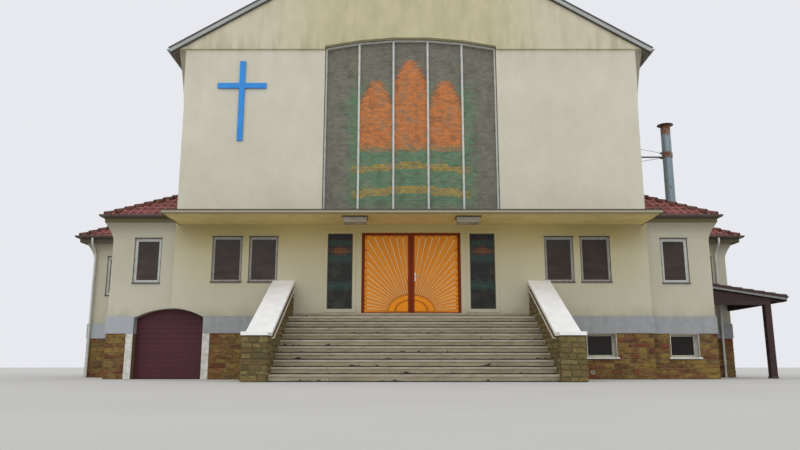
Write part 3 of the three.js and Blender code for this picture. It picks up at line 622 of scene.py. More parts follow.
def tile_field(corner, along, climb, width, length, seed):
    """Corners of a tile sheet. Point = corner + s x along + t x climb + h x normal, with h = roll(s) +
    lap(t): roll is the tile's section across, lap falls evenly from the nose height to nothing up each
    course."""
    draw = np.random.default_rng(seed)
    columns, rows = math.ceil(width / COVER), math.ceil(length / GAUGE)
    s = (np.arange(columns)[:, None] + ACROSS[None, :, 0]).ravel()
    roll = np.tile(ACROSS[:, 1], columns)
    t = (np.arange(rows)[:, None] + [0.0015, 0.0015, 0.9985]).ravel()
    lap = np.tile([NOSE - 0.02, NOSE, 0.0], rows)
    lift = np.repeat(np.repeat(draw.uniform(-0.002, 0.003, (columns, rows)), len(ACROSS), 0), 3, 1)
    height = roll[:, None] + lap[None, :] + lift
    along, climb = np.array(along, float), np.array(climb, float)
    normal = np.cross(along, climb)
    flat = np.minimum(s * COVER, width)[:, None, None] * along
    flat = flat + (np.minimum(t * GAUGE, length) - HANG)[None, :, None] * climb
    corners = np.array(corner, float) + flat + height[..., None] * normal
    places = np.stack(np.broadcast_arrays(s[:, None], t[None, :]), -1)
    return (corners.reshape(-1, 3), [grid(len(s), len(t))]), places.reshape(-1, 2)


HALL_PITCH, LOW_PITCH = 30.7, 30


def slope(degrees, ahead):
    """A unit step up a roof that rises at that many degrees in the level direction given."""
    angle = math.radians(degrees)
    return (ahead[0] * math.cos(angle), ahead[1] * math.cos(angle), math.sin(angle))


# %% Lay the tiles
def lay(name, corner, along, climb, width, length, seed, cuts=()):
    """One trimmed tile field on the right side and its mirror image on the left."""
    shape, places = tile_field(corner, along, climb, width, length, seed)
    for side, sign in SIDES[::-1]:
        made = piece(f"{name}_{side}", for_side(shape, sign), TILES, data={"courses": places})
        trimmed(made, [((sign * p[0], p[1] + FRONT, 0), (sign * d[0], d[1], 0)) for p, d in cuts])
        skin = made.modifiers.new("skin", "SOLIDIFY")
        skin.thickness, skin.offset = 0.012, -1


half_gap = 0.055
hip, valley = (WING_EAVE, (1, 1)), ((WING_EAVE[0], AISLE_EAVE[1]), (1, 1))
side_hip, back_hip = (AISLE_EAVE, (1, 1)), ((AISLE_EAVE[0], BACK_EAVE), (1, -1))
wing_run, aisle_run = WING_EAVE[0] - HALL_X, AISLE_EAVE[0] - HALL_X
wing_rise, aisle_rise = (run * (1 / math.cos(math.radians(LOW_PITCH))) for run in (wing_run, aisle_run))


def keep(line, way, gap=0.0):
    """A cut at a hip or valley line: way = 1 keeps what lies against the line's direction, -1 the rest."""
    (x, y), (dx, dy) = line
    return (x - way * gap * dx, y - way * gap * dy), (way * dx, way * dy)


hall_eave = (6.93, -OVERHANG, 9.36)
backwards, inwards = slope(LOW_PITCH, (0, 1)), slope(LOW_PITCH, (-1, 0))
lay("hall_tiles", hall_eave, (0, 1, 0), slope(HALL_PITCH, (-1, 0)), BACK + 2 * OVERHANG, 8.1, 1)
lay("wing_front_tiles", (HALL_X, WING_EAVE[1], EAVES), (1, 0, 0), backwards, wing_run, wing_rise, 2,
    [keep(hip, 1)])
lay("wing_side_tiles", (*WING_EAVE, EAVES), (0, 1, 0), inwards, 5.5, wing_rise, 3,
    [keep(hip, -1), keep(valley, 1, half_gap)])
lay("aisle_front_tiles", (HALL_X, AISLE_EAVE[1], EAVES), (1, 0, 0), backwards, aisle_run, aisle_rise, 4,
    [keep(valley, -1, half_gap), keep(side_hip, 1)])
lay("aisle_side_tiles", (*AISLE_EAVE, EAVES), (0, 1, 0), inwards, 17.1, aisle_rise, 5,
    [keep(side_hip, -1), keep(back_hip, -1)])
lay("aisle_back_tiles", (AISLE_EAVE[0], BACK_EAVE, EAVES), (-1, 0, 0), slope(LOW_PITCH, (0, -1)),
    aisle_run, aisle_rise, 6, [keep(back_hip, 1)])

# %% [markdown]
# Half-round tiles close the hips and the ridge. Each is a part of a cone: wide at the end that laps over
# the tile below it, a little narrower at the other, so a row reads as a string of overlapping caps.

# %% Hip and ridge tiles
CAPS = two_tone("cap_tiles", (112, 54, 48), (104, 84, 72), 0.12, 5, grain=0.65, ends=(0.36, 0.62),
                depth=0.004, rough=0.85)


def cap_row(start, end, radius=0.11, cover=0.31, lift=0.035):
    """Caps from low to high. Point = start + t x run + r(t) (sin a x side + cos a x rise): a goes from 105 to
    -105 degrees, r shrinks by a third from nose to tail, and the row sits a little over the line."""
    start, end = np.array(start, float), np.array(end, float)
    run = end - start
    length = np.linalg.norm(run)
    run /= length
    side = np.cross(run, (0, 0, 1))
    side /= np.linalg.norm(side)
    rise = np.cross(side, run)
    count = max(1, round(length / cover))
    angle = np.radians(np.linspace(105, -105, 9))
    ring = np.sin(angle)[:, None] * side + np.cos(angle)[:, None] * rise
    along = np.array([0.0, 0.06, 1.08]) * length / count
    wide = radius * np.array([1.0, 1.0, 0.67])
    one = along[:, None, None] * run + wide[:, None, None] * ring[None] + (lift - 0.35 * radius) * rise
    caps = start + one.reshape(-1, 3)
    return repeated((caps, [grid(3, 9)]), np.arange(count)[:, None] * run * length / count)


WING_TOP, AISLE_TOP = 5.615, 6.839
WING_HIP, AISLE_HIP, REAR_HIP = (2.05, WING_TOP), (7.37, AISLE_TOP), (16.23, AISLE_TOP)
RIDGE = 13.475
hips = together(cap_row((*WING_EAVE, EAVES), (HALL_X, *WING_HIP)),
                cap_row((*AISLE_EAVE, EAVES), (HALL_X, *AISLE_HIP)),
                cap_row((AISLE_EAVE[0], BACK_EAVE, EAVES), (HALL_X, *REAR_HIP)))
for side, sign in SIDES[::-1]:
    piece(f"hip_tiles_{side}", for_side(hips, sign), CAPS, smooth=BEND, thick=0.014)
ridge = cap_row((0, -OVERHANG, RIDGE), (0, BACK + OVERHANG, RIDGE), 0.14, 0.38, 0.06)
piece("ridge_tiles", ridge, CAPS, smooth=BEND, thick=0.014)

# %% [markdown]
# ## Sheet metal
# Zinc gutters hang under the eaves and feed round downpipes; the verges of the hall roof have grey
# painted boards under a metal cap; aprons close the line where the low roofs meet the hall. Each is one
# section carried along a path, mitred at the corners as a plumber folds it.

# %% Metal and board finishes
zinc = Finish("weathered_zinc", rough=0.5, Metallic=0.55)
bloom = zinc.clouds(0.25, 4)
drips = zinc.clouds(0.05, 3, (1, 1, 6))
zinc_tone = zinc.blend(bloom, 0.3, 0.7, (120, 122, 120), (148, 150, 148))
zinc_tone = zinc.blend(drips, 0.55, 0.75, zinc_tone, (96, 98, 96), 0, 0.5)
ZINC = zinc.done(zinc_tone, bloom, 0.002, zinc.between(bloom, 0.3, 0.7, 0.4, 0.65))

grey = Finish("grey_boards", rough=0.75)
weather = grey.clouds(0.12, 4, (6, 1, 6))
grey_tone = grey.blend(weather, 0.3, 0.7, (158, 164, 160), (178, 183, 178))
joint_line = grey.maths("LESS_THAN", grey.maths("FRACT", grey.times(grey.y, 7.1)), 0.05)
GREY = grey.done(grey.mixed(grey.times(joint_line, 0.35), grey_tone, (96, 98, 96)), weather, 0.002)

SOOTY = two_tone("sooty_zinc", (78, 66, 60), (96, 84, 76), 0.2, ends=(0.3, 0.7), depth=0.002, Metallic=0.2)
LEAD = two_tone("dark_metal", (58, 54, 50), (86, 82, 76), 0.04, 3, ends=(0.35, 0.65), rough=0.5, Metallic=0.3)
PALE = two_tone("pale_pipe", (204, 205, 200), (176, 176, 168), 0.08, stretch=(1, 1, 4), ends=(0.45, 0.75),
                rough=0.45)


def half_round():
    """The lower half of a circle of radius 1, from left to right."""
    angle = np.linspace(np.pi, 2 * np.pi, 11)
    return np.stack([np.cos(angle), np.sin(angle)], -1)


def trough(radius=0.062, skin=0.005):
    """Section of a half-round gutter: the outer half circle, a rolled lip and the inner half circle back."""
    arc = half_round()
    lip = np.radians(np.linspace(-60, 200, 6))
    bead = np.stack([radius - 0.004 + 0.009 * np.cos(lip), 0.006 + 0.009 * np.sin(lip)], -1)
    return np.vstack([radius * arc, bead, (radius - skin) * arc[::-1]])


def gutter_run(path, every=0.65):
    """A trough carried along a path, a thin half disc in each end and a strap under it every so often."""
    path = np.array(path, float)
    shapes = [carried(path, trough())]
    for tip, other in ((path[0], path[1]), (path[-1], path[-2])):
        inward = (other - tip) / np.linalg.norm(other - tip) * 0.004
        ends = [tip, tip + inward] if np.allclose(tip, path[0]) else [tip + inward, tip]
        shapes.append(carried(ends, 0.061 * half_round()))
    for a, b in zip(path[:-1], path[1:]):
        run = (b - a) / np.linalg.norm(b - a)
        spots = np.arange(0.3, np.linalg.norm(b - a) - 0.15, every)
        strap = carried([a - run * 0.0125, a + run * 0.0125], trough(0.066, 0.004))
        shapes.append(repeated(strap, spots[:, None] * run))
    return together(*shapes)


def downpipe(x, wall_y, top, clips):
    """A pipe from the gutter outlet back under the eaves and down the wall, with clips and their stems."""
    out, near = wall_y - 0.415, wall_y - 0.08
    path = rounded([(x, out, top), (x, out, top - 0.16), (x, near, 3.95), (x, near, 0.0)], 0.07)
    shapes = [carried(path, circle(0.037, 14), up=(1, 0, 0))]
    for z, high in [(3.5, 0.06)] + [(clip, 0.035) for clip in clips]:
        shapes.append(turned(oblong(0.037, 0.044, z, z + high), (x, near), 14))
    for z in clips:
        shapes.append(boxes((x - 0.008, x + 0.008, near + 0.04, wall_y, z + 0.008, z + 0.027)))
    return together(*shapes)


# %% Gutters, downpipes and flashings
GUTTER_OUT = 0.065
wing_out, wing_front = WING_EAVE[0] + GUTTER_OUT, WING_EAVE[1] - GUTTER_OUT
aisle_out, aisle_front = AISLE_EAVE[0] + GUTTER_OUT, AISLE_EAVE[1] - GUTTER_OUT
hall_out, behind = hall_eave[0] + GUTTER_OUT, BACK_EAVE + GUTTER_OUT
side_line = np.array([(6.52, wing_front), (wing_out, wing_front), (wing_out, aisle_front),
                      (aisle_out, aisle_front), (aisle_out, behind), (HALL_X, behind)])
side_line = np.column_stack([side_line, np.full(len(side_line), EAVES - 0.012)])
hall_line = np.array([(hall_out, y, 9.34) for y in (-OVERHANG, BACK + OVERHANG)])
roof_line = ((0.06, 4.466), WING_HIP, (5.25, WING_TOP), AISLE_HIP, REAR_HIP, (BACK, 4.662))
tray_half = [(-0.16, 0.05), (0, 0), (0.16, 0.05), (0.16, 0.054), (0, 0.004), (-0.16, 0.054)]
PIPE_X = {"left": -10.19, "right": 9.93}
back_pipe = rounded([(hall_out, BACK + 0.06, 9.28), (hall_out, BACK + 0.06, 8.9), (6.35, BACK + 0.09, 8.2),
                     (6.35, BACK + 0.09, 0.0)], 0.1)
for side, sign in SIDES[::-1]:
    flip = (lambda path: path) if sign > 0 else (lambda path: path[::-1] * [-1, 1, 1])
    corner_pipe = downpipe(PIPE_X[side], AISLE_Y, 4.4, (3.1, 1.8, 0.5))
    rear = carried(flip(back_pipe), circle(0.05, 14), up=(0, 1, 0))
    piece(f"side_gutter_{side}", gutter_run(flip(side_line)), SOOTY, smooth=BEND,
          replaces=(f"gutter_{side}",))
    piece(f"hall_gutter_{side}", gutter_run(flip(hall_line)), ZINC, smooth=BEND)
    piece(f"corner_downpipe_{side}", corner_pipe, PALE, smooth=BEND)
    piece(f"back_downpipe_{side}", rear, ZINC, smooth=BEND)
    apron = [(HALL_X * sign, y, z) for y, z in roof_line]
    strip = carried(apron, oblong(-0.17, 0.0, 0.0, 0.012 * sign), up=(1, 0, 0))
    piece(f"lead_apron_{side}", strip, ZINC)
    tray = carried([(WING_EAVE[0] * sign, AISLE_EAVE[1], 4.475), (HALL_X * sign, 5.25, 5.63)], tray_half)
    piece(f"valley_tray_{side}", tray, ZINC)

# %% Verge boards
rake = math.tan(math.radians(HALL_PITCH))
board_section = [(-0.085, 0), (0.022, 0), (0.022, 0.022), (-0.079, 0.022), (-0.085, 0.016)]
eave_x, _, eave_z = hall_eave
for end, y, toward in (("front", -OVERHANG, -1), ("back", BACK + OVERHANG, 1)):
    foot_x, foot_z = eave_x + 0.05, eave_z - 0.05 * rake
    line = np.array([(foot_x, y, foot_z), (0, y, eave_z + eave_x * rake), (-foot_x, y, foot_z)])
    line = line if toward < 0 else line[::-1]
    board, cap, drip = (carried(line, section, up=(0, toward, 0)) for section in (
        board_section, oblong(0.022, 0.066, -0.16, 0.036), oblong(-0.11, -0.085, -0.05, 0.008)))
    piece(f"verge_board_{end}", board, GREY)
    piece(f"verge_cap_{end}", together(cap, drip), LEAD)

# %% [markdown]
# ## Windows
# The windows have light frames close to the wall face, brownish panes, and a thin dark metal line over
# and under each. A frame is one stepped section (fixed frame, groove, sash, bead) carried round the
# opening.

# %% Window finishes
WHITE = two_tone("window_white", (206, 208, 202), (176, 178, 170), 0.06, stretch=(1, 1, 3), ends=(0.4, 0.75),
                 depth=0.0008, rough=0.4)
# A greyer copy of the frame white, given to the two windows under the canopy.
GREYER_WHITE = two_tone("greyer_window_white", (184, 184, 176), (148, 146, 138), 0.05, stretch=(1, 1, 3), rough=0.5)
YELLOWED = two_tone("yellowed_paint", (196, 196, 176), (168, 168, 146), 0.25, ends=(0.4, 0.75),
                    depth=0.0008, rough=0.5)


def pane_finish(name, deep, light):
    """Glass with a dark room behind it: a broad wave between two tones, and a warm glow in the lower half
    of the main storey's windows, where the room's floor and seats catch some light."""
    glass = Finish(name, rough=0.07, Specular_IOR_Level=0.2)
    wave = glass.clouds(0.9, 2)
    inside = glass.blend(wave, 0.35, 0.65, deep, light)
    seats = glass.between(glass.clouds(0.35, 3, (2, 2, 0.6)), 0.4, 0.65, 0, 0.6)
    storey = glass.times(glass.between(glass.z, 3.1, 3.7, 1, 0), glass.between(glass.z, 1.7, 1.8))
    seats = glass.times(seats, storey)
    return glass.done(glass.mixed(seats, inside, (80, 66, 54)), wave, 0.004, strength=0.4)


DARK = pane_finish("brown_glass", (48, 40, 34), (62, 53, 46))
DEEP = pane_finish("cellar_glass", (28, 24, 20), (38, 34, 31))


def window(u0, u1, z0, z1, set_in=0.03, bar=0.075, depth=0.06, trims=True):
    """Frame, pane and dark trims of one window from u0 to u1 and z0 to z1 in its wall's coordinates. The
    frame's front lies set_in behind the wall face; its section runs from a flat outer bar over a groove
    to the bead."""
    ring = [(u0, set_in, z0), (u1, set_in, z0), (u1, set_in, z1), (u0, set_in, z1)]
    half = bar / 2
    section = [(-bar, -depth), (0, -depth), (0, 0), (0.004 - half, 0), (-half, -0.012),
               (-half - 0.005, -0.004), (0.012 - bar, -0.007), (-bar, -0.022)]
    seal = [(-bar - 0.007, -0.032), (-bar, -0.032), (-bar, -0.021), (-bar - 0.007, -0.027)]
    lap = bar - 0.004
    pane = boxes((u0 + lap, u1 - lap, set_in + 0.03, set_in + 0.036, z0 + lap, z1 - lap))
    outer = [(u, 0, z) for u, _, z in ring]
    joint = oblong(-0.002, 0.012, -0.02, 0.003)
    dark_parts = [carried(ring, seal, OUTWARD, ring=True), carried(outer, joint, OUTWARD, ring=True)]
    if trims:
        dark_parts.append(boxes((u0 - 0.025, u1 + 0.025, -0.03, 0.0, z1 + 0.002, z1 + 0.024),
                                (u0 - 0.025, u1 + 0.025, -0.04, 0.0, z0 - 0.028, z0 - 0.002),
                                (u0 + 0.002, u1 - 0.002, 0.0, set_in, z0 - 0.001, z0 + 0.006)))
    return carried(ring, section, OUTWARD, ring=True), pane, together(*dark_parts)


def fit_windows(name, units, replaces, frame_finish=WHITE, pane=DARK):
    """Joins the frames, panes and trims of several windows that stand in the plan into three pieces."""
    frames, panes, trims = zip(*units)
    piece(f"{name}_frame", together(*frames), frame_finish, smooth=25, replaces=replaces)
    piece(f"{name}_pane", together(*panes), pane)
    piece(f"{name}_trim", together(*trims), LEAD)


def on(wall_at, along, parts):
    """Stands each part of a unit on the same wall."""
    return [stood(part, wall_at, along) for part in parts]


# %% Main storey windows
STOREY = (2.6, 3.83)
front_windows = (
    ("front_window_{}_1", 0, 3.67, 4.44, 0.058, GREYER_WHITE),
    ("front_window_{}_2", 0, 4.65, 5.45, 0.058, GREYER_WHITE),
    ("wing_window_{}", WING_Y, 6.95, 7.68, 0.075, WHITE),
    ("aisle_window_{}", AISLE_Y, 9.05, 9.81, 0.075, WHITE),
)
ROW_HALF = 0.39
for side, sign in SIDES:
    for title, wall_y, near, far, bar, frame_finish in front_windows:
        name = title.format(side)
        unit = window(*sorted((sign * near, sign * far)), *STOREY, bar=bar)
        fit_windows(f"{name}_new", [on((0, wall_y), (1, 0), unit)], (name,), frame_finish)
    rows = [on((AISLE_X * sign, 0), (0, sign), window(y * sign - ROW_HALF, y * sign + ROW_HALF, *STOREY))
            for y in ROW_Y]
    fit_windows(f"aisle_row_{side}", rows, (f"aisle_glass_{side}",))

# %% [markdown]
# The basement windows sit deep in the stone, in a plastered white reveal with a thick sill. The reveal is
# a thin lining carried round the opening, open at the front and closed by the frame behind.

# %% Basement windows
PLASTER = two_tone("white_reveal", (222, 221, 214), (186, 182, 168), 0.1, ends=(0.4, 0.75),
                   depth=0.002, rough=0.85)


def basement_unit(at, along, u0, u1):
    """A small window 18 cm deep in the wall, and the lining and sill before it, stood on their wall."""
    parts = window(u0 + 0.016, u1 - 0.016, SILL + 0.016, HEAD - 0.012, 0.18, 0.06, 0.06, trims=False)
    ring = [(u0, 0, SILL), (u1, 0, SILL), (u1, 0, HEAD), (u0, 0, HEAD)]
    lining = carried(ring, oblong(-0.016, 0, -0.24, 0.012), OUTWARD, ring=True)
    sill = boxes((u0 - 0.05, u1 + 0.05, -0.06, 0.18, SILL - 0.03, SILL + 0.018))
    return on(at, along, parts), stood(together(lining, sill), at, along)


def fit_basement(name, units, replaces):
    """The window pieces of several basement units and one piece for their reveals."""
    fit_windows(name, [parts for parts, _ in units], replaces, YELLOWED, DEEP)
    piece(f"{name}_reveal", together(*[reveal for _, reveal in units]), PLASTER, edge=0.004)


fit_basement("basement_front", [basement_unit((0, 0), (1, 0), 4.69, 5.49)], ("basement_window_front",))
fit_basement("basement_wing", [basement_unit((0, WING_Y), (1, 0), 7.02, 7.8)], ("basement_window_wing",))
for side, sign in SIDES:
    units = [basement_unit((AISLE_X * sign, 0), (0, sign), y * sign - ROW_HALF, y * sign + ROW_HALF)
             for y in ROW_Y]
    fit_basement(f"basement_row_{side}", units, (f"basement_glass_{side}",))

# %% [markdown]
# ## Coloured glass
# The tall window has five lights between white bars. Its glass is a mosaic of small flat pieces in lead.
# The design is a plain one: three amber lights with pointed heads on a sea green ground, two golden
# courses below them and smoky greys round the edge, with each piece a little lighter or darker than the
# next.

# %% Glass finish
def leaded(name, shine, veil):
    """Leaded glass that takes each pane's own tint, with ripples and, as far as the veil says, smoky
    blooms."""
    stained = Finish(name, rough=0.18, Specular_IOR_Level=shine)
    tint = stained.node("Attribute", attribute_name="tint").outputs["Color"]
    ripple = stained.clouds(0.05, 4, (1.4, 1, 1), 0.6)
    bloom = stained.clouds(0.34, 5, rough=0.6)
    haze = stained.clouds(0.09, 5, (2.2, 1, 1), 0.65)
    tinted = stained.blend(bloom, 0.5, 0.66, tint, (140, 132, 108), 0, veil)
    tinted = stained.blend(bloom, 0.32, 0.47, tinted, (56, 58, 42), veil, 0)
    tinted = stained.blend(haze, 0.42, 0.66, tinted, (84, 80, 60), 0, veil)
    tinted = stained.blend(ripple, 0.4, 0.72, tinted, (70, 68, 54), 0, veil * 0.5)
    return stained.done(tinted, ripple, 0.003, stained.between(ripple, 0.3, 0.7, 0.14, 0.34))


STAINED = leaded("leaded_glass", 0.4, 0.5)
GLOOMY = leaded("dark_leaded_glass", 0.2, 0.12)
CAME = two_tone("lead_came", (96, 94, 76), (116, 112, 92), 0.2, ends=(0.3, 0.7), depth=0.002)
PANE_LONG, PANE_HIGH = 0.156, 0.072
TALL_HALF, TALL_FOOT, TALL_FACE, BAY = 2.485, 4.28, 0.09, 0.994
BARS_X = np.linspace(-TALL_HALF, TALL_HALF, 6)


def held(values):
    """Values held between 0 and 1."""
    return np.clip(values, 0, 1)


def bricked(u0, u1, z0, z1, long, high=PANE_HIGH):
    """Rows of small panes u0, u1, z0, z1, every other course shifted by half a pane."""
    count = round((z1 - z0) / high)
    levels = np.linspace(z0, z1, count + 1)
    across = np.linspace(u0, u1, round((u1 - u0) / long) + 1)
    shifted = np.concatenate([[u0], (across[:-1] + across[1:]) / 2, [u1]])
    cuts = [shifted if k % 2 else across for k in range(count)]
    rows = [np.stack([cut[:-1], cut[1:], 0 * cut[1:] + low, 0 * cut[1:] + top], -1)
            for cut, low, top in zip(cuts, levels[:-1], levels[1:])]
    return np.vstack(rows)


def small_panes(rows, depth, gap=0.0012, rise=0.002):
    """Flat-topped panes: the back rectangle lies at the depth, the front one is smaller and stands out."""
    u0, u1, z0, z1 = rows.T
    layers = []
    for inset, d in ((gap, depth), (gap + rise, depth - rise)):
        rim = oblong(u0 + inset, u1 - inset, z0 + inset, z1 - inset)
        layers += [np.stack([u, 0 * u + d, z], -1) for u, z in rim]
    return np.stack(layers, 1).reshape(-1, 3), [numbered(BOX, 8, len(rows))]


def dyed(colour, share, steps):
    """Rows of colour moved towards one tone by each row's share."""
    return colour + (np.array(tone(*steps)[:3]) - colour) * share[:, None]


def pane_tints(colour):
    """One opaque tint on all eight corners of each pane."""
    return np.repeat(np.column_stack([colour, np.ones(len(colour))]), 8, 0)


def window_tints(rows, draw):
    """Colour by place: on a green ground with smoky edges stand three pointed lights |u - middle| < half
    x sqrt((top - z) / point) in amber with a brown rim, and two golden courses cross the ground as low
    chevrons. Every pane is then scaled by its own luck."""
    u, z = (rows[:, 0] + rows[:, 1]) / 2, (rows[:, 2] + rows[:, 3]) / 2
    luck = draw.uniform(-0.06, 0.06, len(u))
    light = np.clip(np.round(u / BAY), -1, 1)
    top = np.where(light == 0, 9.15, 8.5)
    reach = 0.5 * np.sqrt(held((top - z) / 0.9))
    within = reach - np.abs(u - light * BAY)
    amber = held(within / 0.1 + 0.5) * held((z + luck - 6.3) / 0.25) * (z < top)
    ground = held((1.9 + luck * 2 - np.abs(u)) / 0.25) * held((z - 4.6) / 0.3) * held((8.5 - z) / 0.5)
    chevron = z + 0.1 * np.abs(u)
    gold = (np.abs(chevron - 5.95) < 0.09) | (np.abs(chevron - 5.25) < 0.11)
    gold = gold * held((1.75 - np.abs(u)) / 0.2) * 0.75
    rim = held(1 - np.abs(within) / 0.07) * (z < top) * (z > 6.4) * 0.5
    colour = np.tile(tone(114, 113, 100)[:3], (len(u), 1))
    colour = dyed(colour, ground * 0.9, (84, 134, 96))
    colour = dyed(colour, gold, (184, 150, 44))
    colour = dyed(colour, amber * 0.95, (216, 120, 34))
    colour = dyed(colour, rim, (132, 52, 14))
    return pane_tints(colour * draw.uniform(0.92, 1.08, (len(u), 1)) * draw.uniform(0.98, 1.02, (len(u), 3)))


def tall_head(x):
    """Height of the window's head: shoulder + 0.27 (1 - (x / half)^2), straight between the bars."""
    return np.interp(x, BARS_X, 9.475 + 0.27 * (1 - (BARS_X / TALL_HALF) ** 2))


# %% Tall window
draw = np.random.default_rng(7)
starts = [-2.455 + BAY * k for k in range(5)]
mosaic = np.vstack([bricked(start, start + 0.934, 4.4, 9.7, PANE_LONG) for start in starts])
mosaic = mosaic[mosaic[:, 3] < tall_head((mosaic[:, 0] + mosaic[:, 1]) / 2) - 0.03]
piece("tall_window_mosaic", small_panes(mosaic, 0.17), STAINED,
      data={"tint": window_tints(mosaic, draw)})
foot = [(-TALL_HALF, TALL_FACE, TALL_FOOT), (TALL_HALF, TALL_FACE, TALL_FOOT)]
outline = np.array(foot + [(x, TALL_FACE, tall_head(x)) for x in BARS_X[::-1]])
shell_section = [(-0.06, -0.08), (-0.018, -0.08), (-0.018, 0.0), (-0.052, 0.004), (-0.06, -0.004)]
shell = carried(outline, shell_section, OUTWARD, ring=True)
# Painted shade: a dark strip fills the reveal between the wall and the frame, where the reveal lies in shade.
gap = carried(outline, oblong(-0.018, 0.0, -0.08, 0.004), OUTWARD, ring=True)
bar_section = [(-0.03, -0.08), (0.03, -0.08), (0.03, -0.004), (0.024, 0.006), (-0.024, 0.006),
               (-0.03, -0.004)]
bars = [carried([(x, TALL_FACE, TALL_FOOT), (x, TALL_FACE, tall_head(x) - 0.05)], bar_section, OUTWARD)
        for x in BARS_X[1:-1]]
rail_ends = [(way * (TALL_HALF - 0.02), TALL_FACE, TALL_FOOT + 0.06) for way in (-1, 1)]
rail = carried(rail_ends, oblong(-0.06, 0.06, -0.08, 0), OUTWARD)
piece("tall_window_bars", together(shell, rail, *bars), WHITE,
      replaces=("tall_window_frame",))
piece("tall_window_reveal_shade", gap, LEAD)

# %% [markdown]
# Beside the doors two narrow panes of the same small glass stand in raised cream surrounds. They look
# dark from outside, with teal courses and one amber lozenge.

# %% Sidelights
SIDE_FOOT, SIDE_HEAD = 1.85, 3.94
surround_section = [(-0.006, -0.05), (0.0, -0.05), (0.0, -0.004), (0.085, -0.004),
                    (0.085, 0.01), (0.079, 0.016), (0.0, 0.016), (-0.006, 0.01)]
slim_section = [(-0.036, -0.085), (0.0, -0.085), (0.0, -0.045), (-0.03, -0.045), (-0.036, -0.051)]
for side, sign in SIDES:
    u0, u1 = sorted((1.6 * sign, 2.3 * sign))
    ring = [(u0, 0, SIDE_FOOT), (u1, 0, SIDE_FOOT), (u1, 0, SIDE_HEAD), (u0, 0, SIDE_HEAD)]
    raised = carried(ring, surround_section, OUTWARD, ring=True)
    slim = carried(ring, slim_section, OUTWARD, ring=True)
    rows = bricked(u0 + 0.034, u1 - 0.034, SIDE_FOOT + 0.034, SIDE_HEAD - 0.034, 0.158)
    middle = np.stack([(rows[:, 0] + rows[:, 1]) / 2 - (u0 + u1) / 2, (rows[:, 2] + rows[:, 3]) / 2], -1)
    colour = np.tile(tone(28, 30, 32)[:3], (len(rows), 1))
    for height, reach in ((3.24, 0.16), (3.68, 0.1), (2.5, 0.16)):
        colour = dyed(colour, held(1 - np.abs(middle[:, 1] - height) / reach) * 0.9, (38, 74, 66))
    amber = held(1.4 - np.abs(middle[:, 0]) / 0.3 - np.abs(middle[:, 1] - 3.46) / 0.11)
    colour = dyed(colour, amber, (126, 70, 26))
    tints = pane_tints(colour * draw.uniform(0.92, 1.08, (len(rows), 1)))
    backing = boxes((u0 + 0.01, u1 - 0.01, 0.062, 0.07, SIDE_FOOT + 0.01, SIDE_HEAD - 0.01))
    piece(f"sidelight_surround_{side}", raised, CANOPY_LIGHT_RENDER, replaces=(f"sidelight_{side}",))
    piece(f"sidelight_frame_{side}", together(slim, backing), LEAD)
    piece(f"sidelight_mosaic_{side}", small_panes(rows, 0.062), GLOOMY, data={"tint": tints})

# %% [markdown]
# ## Canopy, lamps and steps
# A folded dark metal strip caps the canopy. The two lamps are shallow trapezoid covers on dark plates.
# The flight is made of concrete treads whose nosings stand two centimetres before the risers, so each step
# has the dark line of shadow under its edge that is seen from the street; the risers also carry painted
# shade, darker than the treads and with a black line along each foot.

# %% Canopy edge and lamps
shelf_x, shelf_y, shelf_z = 6.42, -1.5, 4.28
edge_line = [(-shelf_x, 0.0, shelf_z), (-shelf_x, shelf_y, shelf_z), (shelf_x, shelf_y, shelf_z),
             (shelf_x, 0.0, shelf_z)]
folded = [(-0.08, 0.0), (0.004, 0.0), (0.004, -0.016), (0.014, -0.02), (0.014, 0.008), (-0.08, 0.008)]
strip = carried(edge_line, folded)
drip = carried(edge_line, oblong(-0.012, 0.006, -0.104, -0.084))
piece("canopy_edge", together(strip, drip), LEAD)

OPAL = two_tone("opal_cover", (170, 164, 146), (154, 148, 130), 0.09, 3, (2, 1, 1), depth=0.0008, rough=0.3)
for side, sign in SIDES:
    corners, blocks = boxes((sign * 1.17, sign * 1.795, -1.155, -0.725, 4.022, 4.165))
    low = corners[:, 2] < 4.05
    middle = np.array([sign * 1.4825, -0.94, 0])
    corners[low, :2] = (middle + (corners[low] - middle) * [0.93, 0.88, 1])[:, :2]
    plate = boxes((sign * 1.155, sign * 1.81, -1.17, -0.715, 4.166, 4.19))
    piece(f"lamp_cover_{side}", (corners, blocks), OPAL, edge=0.012,
          replaces=(f"canopy_lamp_{side}",))
    piece(f"lamp_plate_{side}", plate, LEAD)

# %% Concrete finishes
RISER_HIGH, TREAD_DEEP, LANDING = 0.16, 0.285, 0.82


